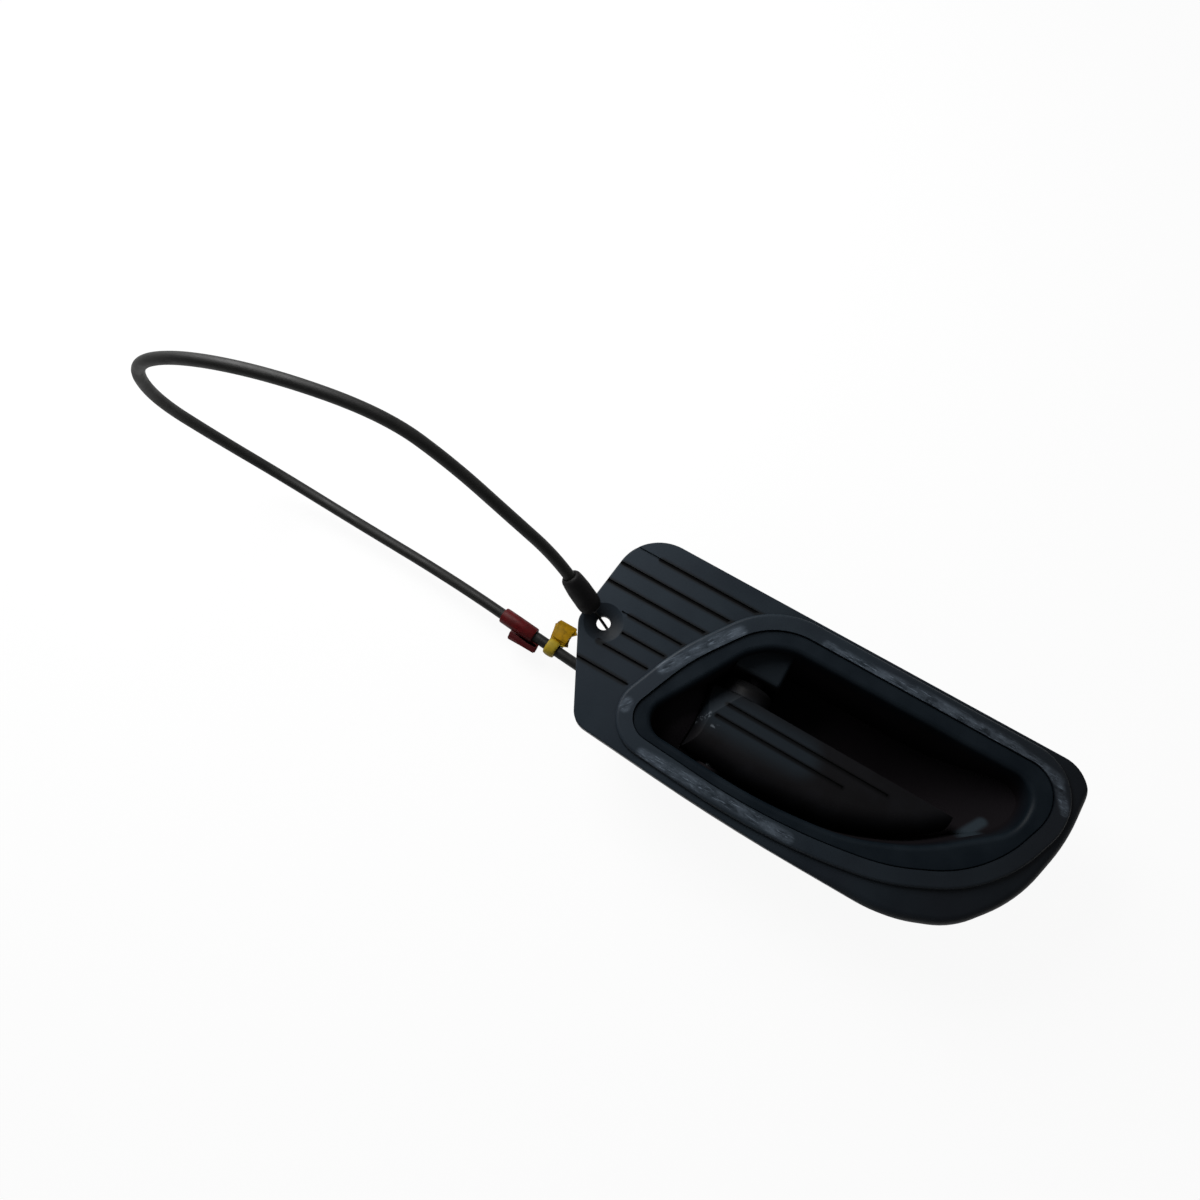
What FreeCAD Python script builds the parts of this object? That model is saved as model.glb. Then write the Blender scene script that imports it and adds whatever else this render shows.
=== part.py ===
import FreeCAD, Part
import math
import os
import re
import Sketcher
from FreeCAD import Placement, Rotation, Vector

# Interior door handle with its release cable, modelled at real size in millimetres.
# +X runs from the cable end to the bulged end, +Y to the long straight edge, +Z out of the door.
# Z is zero on the flat bottom of the cup.

# Driving dimensions: name, number, what it is
SIZES = [
    # the escutcheon plate
    ("plate_top", 46.0, "height of the plate's face above the bottom of the cup"),
    ("plate_skin", 2.6, "thickness of the plate"),
    ("skirt_depth", 8.0, "how far the turned-down rim reaches below the face"),
    ("skirt_wall", 2.4, "thickness of the turned-down rim"),
    ("edge_break", 0.6, "rounding of the plate's edge at the cable end"),
    ("edge_roll", 4.2, "rounding of the plate's edge at the bulged end"),
    ("roll_lean", 0.045, "how the rolled edge runs out along the lower edge, per millimetre"),
    ("far_margin", 9.2, "from the parting line to the plate's long straight edge"),
    ("near_margin", 9.9, "from the parting line's bow to the plate's bowed edge"),
    ("right_margin", 12.7, "from the parting line to the bulged end"),
    ("top_left_x", -111.3, "corner at the cable end, long edge"),
    ("top_left_radius", 22.0, "its radius"),
    ("left_vertex_x", -117.4, "blunt vertex of the cable end"),
    ("left_vertex_y", -2.3, "its place across"),
    ("left_vertex_radius", 8.0, "its radius"),
    ("low_left_x", -95.5, "corner at the foot of the slanted edge"),
    ("low_left_rise", 5.6, "its height above the bowed edge"),
    ("low_left_radius", 10.0, "its radius"),
    ("belly_x", -16.6, "middle of the long bow of the lower edge"),
    ("belly_radius", 1000.0, "radius of that bow"),
    ("sweep_1_in", 55.1, "first corner of the swept end, from the bulged end"),
    ("sweep_2_in", 29.1, "second corner of the swept end, from the bulged end"),
    ("sweep_2_rise", 10.3, "its height above the bowed edge"),
    ("sweep_3_in", 8.9, "third corner of the swept end, from the bulged end"),
    ("sweep_3_rise", 34.4, "its height above the bowed edge"),
    ("sweep_4_drop", 32.85, "fourth corner of the swept end, below the long edge"),
    ("sweep_1_radius", 70.0, "radius of the first corner"),
    ("sweep_2_radius", 40.0, "radius of the second corner"),
    ("sweep_3_radius", 68.0, "radius of the third corner"),
    ("sweep_4_radius", 85.0, "radius of the fourth corner"),
    ("top_right_radius", 16.0, "radius at the long edge"),
    # the parting line between plate and cup
    ("part_top", 41.0, "parting line beside the long edge"),
    ("part_1_x", -38.4, "upper left corner"),
    ("part_1_radius", 35.0, "its radius"),
    ("part_2_x", -63.6, "bend of the left side"),
    ("part_2_drop", 36.0, "its place below the long side"),
    ("part_2_radius", 100.0, "its radius"),
    ("part_3_x", -79.6, "lower left corner"),
    ("part_3_rise", 5.6, "its height above the bow"),
    ("part_3_radius", 11.0, "its radius"),
    ("part_4_in", 52.0, "bow of the lower side, before the first corner of the sweep"),
    ("part_4_y", -40.3, "its place across"),
    ("part_4_radius", 300.0, "its radius"),
    ("part_5_in", 51.9, "first corner of the sweep, from the bulged end"),
    ("part_5_rise", 9.2, "its height above the bow"),
    ("part_5_radius", 90.0, "its radius"),
    ("part_6_in", 22.9, "second corner of the sweep, from the bulged end"),
    ("part_6_rise", 22.7, "its height above the bow"),
    ("part_6_radius", 60.0, "its radius"),
    ("part_7_in", 8.0, "third corner of the sweep, from the bulged end"),
    ("part_7_rise", 40.5, "its height above the bow"),
    ("part_7_radius", 55.0, "its radius"),
    ("part_right", 104.3, "parting line at the bulged end"),
    ("part_8_drop", 21.1, "last corner of the sweep, below the long side"),
    ("part_8_radius", 25.0, "its radius"),
    ("part_9_radius", 16.0, "radius at the upper right"),
    # the raised band round the parting line
    ("band_width", 7.6, "width of the raised band"),
    ("band_height", 2.0, "how far the band stands above the plate"),
    ("band_round", 1.5, "rounding of the band's outer edge"),
    ("parting_gap", 0.25, "gap between the plate and the cup's lip"),
    # the mouth of the cup
    ("lip_far", 8.3, "from the mouth to the parting line, at the long side"),
    ("lip_near", 6.4, "from the mouth to the parting line, at the bow"),
    ("lip_right", 8.7, "from the mouth to the parting line, at the bulged end"),
    ("mouth_1_x", -36.0, "upper left corner"),
    ("mouth_1_radius", 30.0, "its radius"),
    ("mouth_2_x", -73.0, "lower left corner"),
    ("mouth_2_rise", 3.2, "its height above the mouth's bow"),
    ("mouth_2_radius", 9.0, "its radius"),
    ("mouth_3_in", 41.2, "bow of the lower side, before the first corner of the sweep"),
    ("mouth_3_radius", 250.0, "its radius"),
    ("mouth_4_in", 63.0, "first corner of the sweep, from the bulged end"),
    ("mouth_4_rise", 5.1, "its height above the mouth's bow"),
    ("mouth_4_radius", 90.0, "its radius"),
    ("mouth_5_in", 33.2, "second corner of the sweep, from the bulged end"),
    ("mouth_5_rise", 17.7, "its height above the mouth's bow"),
    ("mouth_5_radius", 90.0, "its radius"),
    ("mouth_6_drop", 22.0, "last corner of the sweep, below the long side"),
    ("mouth_6_radius", 20.0, "its radius"),
    ("mouth_7_radius", 11.0, "radius at the upper right"),
    ("lip_drop", 1.1, "how far the lip lies below the band"),
    ("lip_round", 2.6, "rounding of the mouth"),
    # the cup
    ("cup_wall", 2.4, "wall of the cup"),
    ("cup_draft", 0.0875, "draft of the cup's sides, per millimetre of depth"),
    ("flange_reach", 3.0, "how far the flange reaches under the band"),
    ("flange_thick", 2.5, "thickness of the flange"),
    ("ear_radius", 3.3, "screw ears on the flange"),
    ("cup_floor", 2.6, "floor of the cup"),
    ("floor_turn_in", 37.2, "where the flat floor would meet the rising one, from the mouth's end"),
    ("floor_rise", 0.84, "rise of the sloping floor, per millimetre"),
    ("floor_round", 45.0, "radius between the two"),
    ("ear_offset", 3.2, "screw centres outside the parting line"),
    # grooves of the plate
    ("groove_depth", 0.9, "depth of the plate's grooves"),
    ("groove_wide", 1.5, "width of the three upper grooves"),
    ("groove_narrow", 1.0, "width of the four lower grooves"),
    ("groove_gap", 1.2, "from a groove's end to the band"),
    ("groove_1_y", 40.1, "first groove"),
    ("groove_2_y", 30.1, "second groove"),
    ("groove_3_y", 19.9, "third groove"),
    ("groove_4_y", 9.9, "fourth groove"),
    ("groove_5_y", 1.3, "fifth groove"),
    ("groove_6_y", -7.5, "sixth groove"),
    ("groove_7_y", -18.0, "seventh groove"),
    # the dished screw boss
    ("boss_x", -106.2, "screw boss, along"),
    ("boss_y", 1.4, "screw boss, across"),
    ("boss_hole_radius", 3.3, "its screw hole"),
    ("dish_radius", 9.2, "rim of the dish"),
    ("dish_depth", 2.6, "depth of the dish"),
    ("boss_wall", 1.1, "wall of the boss outside the dish"),
    ("boss_floor", 2.3, "thickness left under the dish"),
    # ribs and clip towers under the plate
    ("rib_height", 3.5, "ribs under the plate"),
    ("rib_thick", 1.6, "thickness of the ribs"),
    ("rib_1_y", 35.0, "first long rib"),
    ("rib_2_y", 25.0, "second long rib"),
    ("rib_3_y", -27.0, "third long rib"),
    ("tower_height", 10.5, "clip towers under the plate"),
    ("tower_length", 8.0, "length of a tower"),
    ("tower_thick", 3.0, "thickness of a tower"),
    ("tower_1_x", -92.0, "tower near the upper left, along"),
    ("tower_1_y", 41.0, "and across"),
    ("tower_2_x", -88.0, "tower near the lower left, along"),
    ("tower_2_y", -36.0, "and across"),
    ("tower_3_in", 7.4, "tower at the bulged end, from that end"),
    ("tower_3_y", 24.0, "and across"),
    ("clip_sheet", 0.6, "sheet of the trim clips"),
    ("clip_bulge", 2.6, "how far a trim clip's barb stands out"),
    ("clip_width", 7.0, "width of a trim clip"),
    ("seat_gap", 0.3, "clearance between neighbouring pieces"),
    # housing screws
    ("screw_radius", 1.5, "shank of the housing screws"),
    ("screw_clearance", 0.2, "play in the ears"),
    ("screw_head_radius", 3.0, "head of the housing screws"),
    ("screw_head_height", 2.2, "height of the head"),
    ("screw_bite", 3.4, "how far the shank goes into the band"),
    ("recess_radius", 1.3, "driver recess in the head"),
    # hinge and lever
    ("hinge_x", -32.45, "hinge axis, along"),
    ("hinge_z", 27.0, "hinge axis, height"),
    ("axle_radius", 2.5, "axle pin"),
    ("running_clearance", 0.06, "radial play of the axle in its bores"),
    ("lever_swing", 29.0, "travel of the lever, degrees"),
    ("drum_radius", 16.0, "round rear of the lever"),
    ("drum_gap", 0.9, "gap between the drum and the cup's dome"),
    ("slant_x", -44.05, "slanted rear edge of the lever's face, a point on it, along"),
    ("slant_y", -10.8, "and across"),
    ("slant_lean", 0.64, "its lean, per millimetre across"),
    ("slope_fall", 38.0, "fall of the slope behind it, degrees"),
    ("face_height", 11.0, "lever's face above the axis"),
    ("face_fall", 0.0524, "fall of the face towards the tip, per millimetre"),
    ("tip_gap", 21.7, "from the lever's tip to the mouth's end"),
    ("lever_far", 4.6, "straight far edge of the lever"),
    ("lever_gap", 3.4, "lever to the mouth's outline, at the near side"),
    ("lever_under_rear", 5.0, "lower edge below the axis, at the rear"),
    ("lever_under_tip", 3.0, "lower edge below the axis, at the tip"),
    ("lever_wall", 2.4, "wall of the lever"),
    ("lever_roll", 11.0, "soft rounding of the near flank"),
    ("lever_nose", 3.0, "rounding of the tip"),
    ("hub_radius", 11.5, "hub beside the lever"),
    ("hub_length", 7.3, "hub beyond the far edge"),
    ("hub_round", 2.6, "rounding of the hub's end"),
    ("axle_boss_radius", 5.0, "boss round the axle"),
    ("lever_groove_width", 1.4, "grooves of the lever"),
    ("lever_groove_depth", 0.9, "their depth"),
    ("lever_groove_1_y", -2.0, "first groove of the lever"),
    ("lever_groove_1_end", 43.3, "its end"),
    ("lever_groove_2_y", -9.0, "second groove of the lever"),
    ("lever_groove_2_end", 23.9, "its end"),
    ("lever_groove_start", -41.5, "start of the lever's grooves"),
    ("lever_rib_reach", 30.0, "ribs under the lever, beyond the axis"),
    # crank and inner wire
    ("crank_length", 17.0, "crank from axis to nipple"),
    ("crank_radius", 4.6, "round end of the crank"),
    ("cheek_thick", 2.6, "each cheek of the crank"),
    ("cheek_gap", 2.6, "gap between the cheeks"),
    ("wire_y", -18.5, "inner wire, across"),
    ("wire_radius", 0.7, "inner wire"),
    ("nipple_radius", 2.4, "nipple in the crank"),
    ("nipple_length", 8.0, "length of that nipple"),
    ("nipple_play", 0.35, "play of the nipple in the cheeks"),
    ("nipple_slot", 0.35, "the cheeks' slot, to each side"),
    ("bore_play", 0.3, "play of the wire in its bores"),
    # return spring
    ("spring_radius", 6.8, "return spring, middle of the wire"),
    ("spring_wire", 0.6, "radius of its wire"),
    ("spring_pitch", 1.27, "pitch of its coils"),
    ("spring_turns", 3.25, "number of coils"),
    ("spring_y", -13.2, "near end of the spring"),
    ("spring_leg", 10.4, "length of the leg that works on the lever"),
    ("spring_foot", 12.2, "reach of the leg under the roof of the cable bay"),
    ("spring_bend", 2.0, "bend of that leg"),
    ("spring_drop", 10.8, "that leg's foot below the axis"),
    # what carries the lever in the cup
    ("dome_x", -56.6, "dome over the cable bay, along"),
    ("dome_y", -18.0, "dome, across"),
    ("dome_z", 7.0, "centre of the dome's ball, height"),
    ("dome_radius", 27.0, "radius of the dome"),
    ("block_left", -75.0, "left end of the cable bay's block"),
    ("block_far", -5.5, "far wall of the cable bay"),
    ("block_top", 19.2, "height of the cable bay"),
    ("block_right", -9.5, "right wall of the cable bay"),
    ("bay_wall", 2.4, "walls of the cable bay"),
    ("bay_near", -27.5, "near side of the bay's hollow"),
    ("bay_far", -7.9, "far side of the bay's hollow"),
    ("bay_left", -62.0, "left end of the bay's hollow"),
    ("bridge_left", -52.5, "bridge across the bay's open bottom, left side"),
    ("bridge_length", 13.0, "length of the bridge"),
    ("well_right", -18.0, "right end of the open well"),
    ("facet_near", 15.8, "near face of the facet block"),
    ("facet_left", -44.2, "left end of its top"),
    ("facet_right", -22.1, "right end of its top"),
    ("facet_top", 38.0, "height of its top"),
    ("facet_spread", 5.0, "how much wider it is at its foot"),
    ("facet_round", 1.8, "rounding of its edges"),
    ("facet_wall", 2.4, "walls of the block, which is cored from below"),
    ("bearing_radius", 6.0, "bosses round the axle's ends"),
    ("near_bearing_step", 0.4, "inner face of the near bearing, inside the mouth's corner"),
    ("near_bearing_length", 6.2, "length of the near bearing"),
    ("far_bearing_reach", 2.8, "outer face of the far bearing, outside the mouth"),
    ("far_bearing_length", 4.5, "length of the far bearing"),
    ("axle_head_radius", 4.2, "head of the axle pin"),
    ("axle_head_height", 1.4, "height of that head"),
    ("axle_end", 2.6, "axle beyond its far bearing"),
    ("circlip_radius", 4.6, "axle retaining clip"),
    ("circlip_thick", 0.8, "its sheet"),
    ("circlip_groove", 0.6, "depth of its groove in the axle"),
    ("circlip_mouth", 3.2, "mouth of the clip"),
    ("buffer_x", -14.6, "rest buffer, along"),
    ("buffer_radius", 3.4, "rest buffer"),
    ("buffer_stem", 1.9, "its stem"),
    # handle end of the cable
    ("bracket_x", -55.6, "inner face of the ferrule's bracket"),
    ("bracket_thick", 2.4, "thickness of the bracket"),
    ("ferrule_neck", 3.0, "ferrule's neck in the bracket"),
    ("ferrule_body", 3.8, "body of the ferrule"),
    ("ferrule_collar", 5.0, "collars of the ferrule"),
    ("collar_thick", 2.0, "each collar"),
    ("ferrule_end", -82.0, "outer end of the ferrule"),
    ("ferrule_stop", -67.97, "where the conduit butts inside it"),
    ("handle_wire_start", -66.0, "inner end of the handle wire"),
    ("notch_play", 0.5, "play of the ferrule in the notch of the cup's wall"),
    # conduit and lock end of the cable
    ("conduit_radius", 2.75, "conduit"),
    ("socket_play", 0.1, "play of the conduit in its sockets"),
    ("lock_z", 42.4, "where the lock end's axis meets the screw hole's, height"),
    ("lock_slope", 42.0, "fall of the lock end towards the screw hole, degrees"),
    ("lock_heading", -19.0, "its heading, degrees"),
    ("boot_tip", 9.71, "boot's tip, from the middle of the screw hole"),
    ("boot_length", 24.0, "length of the boot"),
    ("boot_radius", 5.0, "boot beside the plate"),
    ("boot_neck", 4.2, "boot at the conduit"),
    ("boot_round", 2.8, "rounding of the boot's tip"),
    ("boot_collar", 0.5, "how far its collar stands out"),
    ("boot_collar_length", 3.4, "length of the collar"),
    ("boot_socket", 6.7, "how far the conduit goes into the boot"),
    ("lock_ferrule_radius", 3.2, "lock end ferrule"),
    ("lock_ferrule_length", 15.5, "its length"),
    ("lock_bore", 13.0, "depth of its bore"),
    ("lock_wire_in", 3.5, "wire inside that bore"),
    ("lock_wire_out", 14.0, "wire beyond the middle of the screw hole"),
    ("lock_nipple_radius", 2.0, "nipple on the lock end"),
    ("lock_nipple_length", 5.0, "its length"),
    # clips on the conduit
    ("red_play", 0.2, "play of both clips on the conduit"),
    ("red_length", 20.0, "red clip's sleeve"),
    ("red_wall", 1.1, "its wall"),
    ("red_middle", -145.2, "place of the red clip along X"),
    ("fin_length", 15.5, "its flat fin"),
    ("fin_width", 6.4, "width of the fin"),
    ("fin_thick", 1.4, "thickness of the fin"),
    ("fin_shift", 4.6, "fin towards the plate"),
    ("yellow_width", 5.0, "yellow clip's band"),
    ("yellow_wall", 2.0, "its wall"),
    ("yellow_middle", -126.0, "place of the yellow clip along X"),
    ("head_length", 13.5, "its head, from the conduit"),
    ("head_width", 9.6, "width of the head"),
    ("head_neck", 5.2, "width of its neck"),
    ("head_thick", 4.4, "thickness of the head"),
]

# Route of the free conduit, chosen by hand, from the housing to the boot
ROUTE = [
    (-68.0, -18.5, 10.27),
    (-98.0, -18.3, 10.27),
    (-132.0, -15.6, 10.3),
    (-186.0, -11.0, 9.0),
    (-246.0, -9.5, 8.6),
    (-291.0, -8.5, 13.0),
    (-318.0, -11.5, 38.0),
    (-332.0, -15.0, 72.0),
    (-326.0, -12.0, 105.0),
    (-296.0, -4.5, 128.0),
    (-255.0, 6.5, 133.0),
    (-214.0, 17.5, 121.0),
    (-182.0, 17.0, 100.0),
    (-148.36, 15.92, 82.55),
    (-125.18, 7.94, 60.48),
]

# Sizes that follow from the ones above: name, formula, what it is
FOLLOWING = [
    ("plate_far", "part_top + far_margin", "long straight edge of the plate"),
    ("plate_near", "part_4_y - near_margin", "bowed edge of the plate"),
    ("plate_right", "part_right + right_margin", "bulged end of the plate"),
    ("low_left_y", "plate_near + low_left_rise", "corner at the foot of the slanted edge, across"),
    ("sweep_1_x", "plate_right - sweep_1_in", "first corner of the swept end, along"),
    ("sweep_2_x", "plate_right - sweep_2_in", "second corner, along"),
    ("sweep_2_y", "plate_near + sweep_2_rise", "second corner, across"),
    ("sweep_3_x", "plate_right - sweep_3_in", "third corner, along"),
    ("sweep_3_y", "plate_near + sweep_3_rise", "third corner, across"),
    ("sweep_4_y", "plate_far - sweep_4_drop", "fourth corner, across"),
    ("part_2_y", "part_top - part_2_drop", "bend of the parting line's left side, across"),
    ("part_3_y", "part_4_y + part_3_rise", "its lower left corner, across"),
    ("part_5_x", "part_right - part_5_in", "first corner of its sweep, along"),
    ("part_5_y", "part_4_y + part_5_rise", "first corner of its sweep, across"),
    ("part_4_x", "part_5_x - part_4_in", "bow of its lower side, along"),
    ("part_6_x", "part_right - part_6_in", "second corner, along"),
    ("part_6_y", "part_4_y + part_6_rise", "second corner, across"),
    ("part_7_x", "part_right - part_7_in", "third corner, along"),
    ("part_7_y", "part_4_y + part_7_rise", "third corner, across"),
    ("part_8_y", "part_top - part_8_drop", "last corner, across"),
    ("mouth_top", "part_top - lip_far", "mouth of the cup beside the long edge"),
    ("mouth_right", "part_right - lip_right", "mouth at the bulged end"),
    ("mouth_3_y", "part_4_y + lip_near", "bow of the mouth, across"),
    ("mouth_2_y", "mouth_3_y + mouth_2_rise", "lower left corner of the mouth, across"),
    ("mouth_4_x", "mouth_right - mouth_4_in", "first corner of the mouth's sweep, along"),
    ("mouth_4_y", "mouth_3_y + mouth_4_rise", "first corner, across"),
    ("mouth_3_x", "mouth_4_x - mouth_3_in", "bow of the mouth, along"),
    ("mouth_5_x", "mouth_right - mouth_5_in", "second corner, along"),
    ("mouth_5_y", "mouth_3_y + mouth_5_rise", "second corner, across"),
    ("mouth_6_y", "mouth_top - mouth_6_drop", "last corner, across"),
    ("floor_turn_x", "mouth_right - floor_turn_in", "where the flat floor would meet the rising one"),
    ("tower_3_x", "plate_right - tower_3_in", "tower at the bulged end, along"),
    ("lever_tip", "mouth_right - tip_gap", "tip of the lever"),
    ("near_bearing_in", "mouth_2_y + near_bearing_step", "inner face of the near bearing"),
    ("near_bearing_out", "near_bearing_in - near_bearing_length", "outer face of the near bearing"),
    ("far_bearing_out", "mouth_top + far_bearing_reach", "outer face of the far bearing"),
]

doc = FreeCAD.newDocument("interior_door_handle")
sheet = doc.addObject("Spreadsheet::Sheet", "Sizes")
for row, (alias, content, note) in enumerate(SIZES + FOLLOWING, start=1):
    sheet.set(f"A{row}", alias)
    sheet.set(f"B{row}", "=" + content if isinstance(content, str) else str(content))
    sheet.set(f"C{row}", note)
    sheet.setAlias(f"B{row}", alias)
doc.recompute()

FUNCTIONS = {"sin", "cos", "tan", "sqrt"}
NAMES = r"[a-z][a-z0-9_]*"


def size(name):
    """A size from the sheet; a leading minus turns its sign."""
    if name.startswith("-"):
        return -size(name[1:])
    return float(sheet.get(name))


def bind(thing, **formulas):
    """Binds properties to formulas in the sheet's names. Double underscores stand for dots."""
    for key, formula in formulas.items():
        text = re.sub(NAMES, lambda m: m[0] if m[0] in FUNCTIONS else "Sizes." + m[0], formula)
        thing.setExpression(key.replace("__", "."), text)
    return thing


def move(thing, x="0", y="0", z="0", rotation=None):
    """Places a thing by formulas, with a fixed rotation."""
    if rotation is not None:
        thing.Placement = Placement(Vector(), rotation)
    return bind(thing, Placement__Base__x=x, Placement__Base__y=y, Placement__Base__z=z)


ALONG_X = Rotation(Vector(0, 1, 0), 90)
ALONG_Y = Rotation(Vector(1, 0, 0), -90)


def box(name, length, width, height, x, y, z, rotation=None):
    made = doc.addObject("Part::Box", name)
    bind(made, Length=length, Width=width, Height=height)
    return move(made, x, y, z, rotation)


def cylinder(name, radius, height, x, y, z, rotation=None):
    made = doc.addObject("Part::Cylinder", name)
    bind(made, Radius=radius, Height=height)
    return move(made, x, y, z, rotation)


def ball(name, radius, x, y, z):
    made = doc.addObject("Part::Sphere", name)
    bind(made, Radius=radius)
    return move(made, x, y, z)


def cut(name, base, tool):
    made = doc.addObject("Part::Cut", name)
    made.Base = base
    made.Tool = tool
    return made


def fuse(name, *things):
    made = doc.addObject("Part::MultiFuse", name)
    made.Shapes = list(things)
    made.Refine = True
    return made


def common(name, *things):
    made = doc.addObject("Part::MultiCommon", name)
    made.Shapes = list(things)
    return made


def extrude(name, base, forward, backward="0", direction=Vector(0, 0, 1)):
    made = doc.addObject("Part::Extrusion", name)
    made.Base = base
    made.DirMode = "Custom"
    made.Dir = direction
    made.Solid = True
    return bind(made, LengthFwd=forward, LengthRev=backward)


def slab(name, base, bottom, top):
    """Extrudes an outline that lies at the plate's face, from one height to another."""
    return extrude(name, base, f"{top} - plate_top", f"plate_top - ({bottom})")


def fillet(name, base, edges):
    """Rounds edges, each given with its radius at both ends."""
    made = doc.addObject("Part::Fillet", name)
    made.Base = base
    made.Edges = edges
    return made


def ready(thing):
    """Recomputes up to this thing and gives its shape."""
    doc.recompute()
    if thing.Shape.isNull():
        raise ValueError(f"{thing.Name} has no shape")
    return thing.Shape


CORNERS_OF = {}
ON_XZ = Rotation(Vector(1, 0, 0), 90)
ON_YZ = Rotation(Vector(1, 1, 1), 120)


def number(formula):
    """The value that a formula in the sheet's names has now."""
    text = re.sub(NAMES, lambda m: m[0] if m[0] in FUNCTIONS else f"({size(m[0])})", formula)
    return FreeCAD.Units.Quantity(text).Value


def outline(name, corners, rotation=None, x="0", y="0", z="0"):
    """A closed sketch. Corners run anticlockwise as x, y and, where the corner is round, a radius."""
    sketch = doc.addObject("Sketcher::SketchObject", name)
    move(sketch, x, y, z, rotation)
    CORNERS_OF[name] = (corners, z)
    count = len(corners)
    points = [Vector(number(corner[0]), number(corner[1]), 0) for corner in corners]
    starts, ends, arcs, arc_of = [], [], [], {}
    for index, corner in enumerate(corners):
        if len(corner) == 2:
            starts.append(points[index])
            ends.append(points[index])
            continue
        before = (points[index] - points[index - 1]).normalize()
        after = (points[(index + 1) % count] - points[index]).normalize()
        turn = before.getAngle(after)
        radius = number(corner[2])
        reach = radius * math.tan(turn / 2)
        starts.append(points[index] - before * reach)
        ends.append(points[index] + after * reach)
        centre = starts[-1] + Vector(-before.y, before.x, 0) * radius
        first = math.atan2(starts[-1].y - centre.y, starts[-1].x - centre.x)
        arc_of[index] = count + len(arcs)
        arcs.append(Part.ArcOfCircle(Part.Circle(centre, Vector(0, 0, 1), radius), first, first + turn))
    sides = [Part.LineSegment(ends[i], starts[(i + 1) % count]) for i in range(count)]
    sketch.addGeometry(sides + arcs, False)
    marks = {index: count + len(arcs) + place for place, index in enumerate(arc_of)}
    if marks:
        sketch.addGeometry([Part.Point(points[index]) for index in arc_of], True)
    for i, corner in enumerate(corners):
        side_in = (i - 1) % count
        held, place = i, 1
        if i in arc_of:
            held = marks[i]
            sketch.addConstraint(Sketcher.Constraint("Tangent", side_in, 2, arc_of[i], 1))
            sketch.addConstraint(Sketcher.Constraint("Tangent", arc_of[i], 2, i, 1))
            sketch.addConstraint(Sketcher.Constraint("PointOnObject", held, 1, side_in))
            sketch.addConstraint(Sketcher.Constraint("PointOnObject", held, 1, i))
            drive(sketch, Sketcher.Constraint("Radius", arc_of[i], number(corner[2])), corner[2])
        else:
            sketch.addConstraint(Sketcher.Constraint("Coincident", side_in, 2, i, 1))
        drive(sketch, Sketcher.Constraint("DistanceX", -1, 1, held, place, points[i].x), corner[0])
        drive(sketch, Sketcher.Constraint("DistanceY", -1, 1, held, place, points[i].y), corner[1])
    return sketch


def grown(name, source, value):
    """The outline moved outwards by a value: every corner slides along its mitre, its radius grows."""
    corners, z = CORNERS_OF[source.Name]
    points = [Vector(number(corner[0]), number(corner[1]), 0) for corner in corners]
    moved = []
    for index, corner in enumerate(corners):
        before = (points[index] - points[index - 1]).normalize()
        after = (points[(index + 1) % len(points)] - points[index]).normalize()
        mitre = Vector(before.y + after.y, -before.x - after.x, 0) * (1 / (1 + before.dot(after)))
        shifted = [f"{old} {'+' if share >= 0 else '-'} ({value}) * {abs(share):.7f}"
                   for old, share in zip(corner, mitre[:2])]
        moved.append((*shifted, *[f"{radius} + ({value})" for radius in corner[2:]]))
    return outline(name, moved, z=z)


def drive(sketch, rule, formula):
    """Adds a measured constraint and ties it to its formula."""
    place = sketch.addConstraint(rule)
    text = re.sub(NAMES, lambda m: m[0] if m[0] in FUNCTIONS else "Sizes." + m[0], formula)
    sketch.setExpression(f"Constraints[{place}]", text)


PLATE_CORNERS = [
    ("top_left_x", "plate_far", "top_left_radius"),
    ("left_vertex_x", "left_vertex_y", "left_vertex_radius"),
    ("low_left_x", "low_left_y", "low_left_radius"),
    ("belly_x", "plate_near", "belly_radius"),
    ("sweep_1_x", "plate_near", "sweep_1_radius"),
    ("sweep_2_x", "sweep_2_y", "sweep_2_radius"),
    ("sweep_3_x", "sweep_3_y", "sweep_3_radius"),
    ("plate_right", "sweep_4_y", "sweep_4_radius"),
    ("plate_right", "plate_far", "top_right_radius"),
]
PARTING_CORNERS = [
    ("part_1_x", "part_top", "part_1_radius"),
    ("part_2_x", "part_2_y", "part_2_radius"),
    ("part_3_x", "part_3_y", "part_3_radius"),
    ("part_4_x", "part_4_y", "part_4_radius"),
    ("part_5_x", "part_5_y", "part_5_radius"),
    ("part_6_x", "part_6_y", "part_6_radius"),
    ("part_7_x", "part_7_y", "part_7_radius"),
    ("part_right", "part_8_y", "part_8_radius"),
    ("part_right", "part_top", "part_9_radius"),
]
MOUTH_CORNERS = [
    ("mouth_1_x", "mouth_top", "mouth_1_radius"),
    ("mouth_2_x", "mouth_2_y", "mouth_2_radius"),
    ("mouth_3_x", "mouth_3_y", "mouth_3_radius"),
    ("mouth_4_x", "mouth_4_y", "mouth_4_radius"),
    ("mouth_5_x", "mouth_5_y", "mouth_5_radius"),
    ("mouth_right", "mouth_6_y", "mouth_6_radius"),
    ("mouth_right", "mouth_top", "mouth_7_radius"),
]


plate_line = outline("plate_line", PLATE_CORNERS, z="plate_top")
parting_line = outline("parting_line", PARTING_CORNERS, z="plate_top")
mouth_line = outline("mouth_line", MOUTH_CORNERS, z="plate_top")
mouth_foot = outline("mouth_foot", MOUTH_CORNERS)
plate_under = "plate_top - plate_skin"
skirt_end = "plate_top - skirt_depth"
flange_under = "plate_top - plate_skin - flange_thick"
lip_top = "plate_top + band_height - lip_drop"


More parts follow.
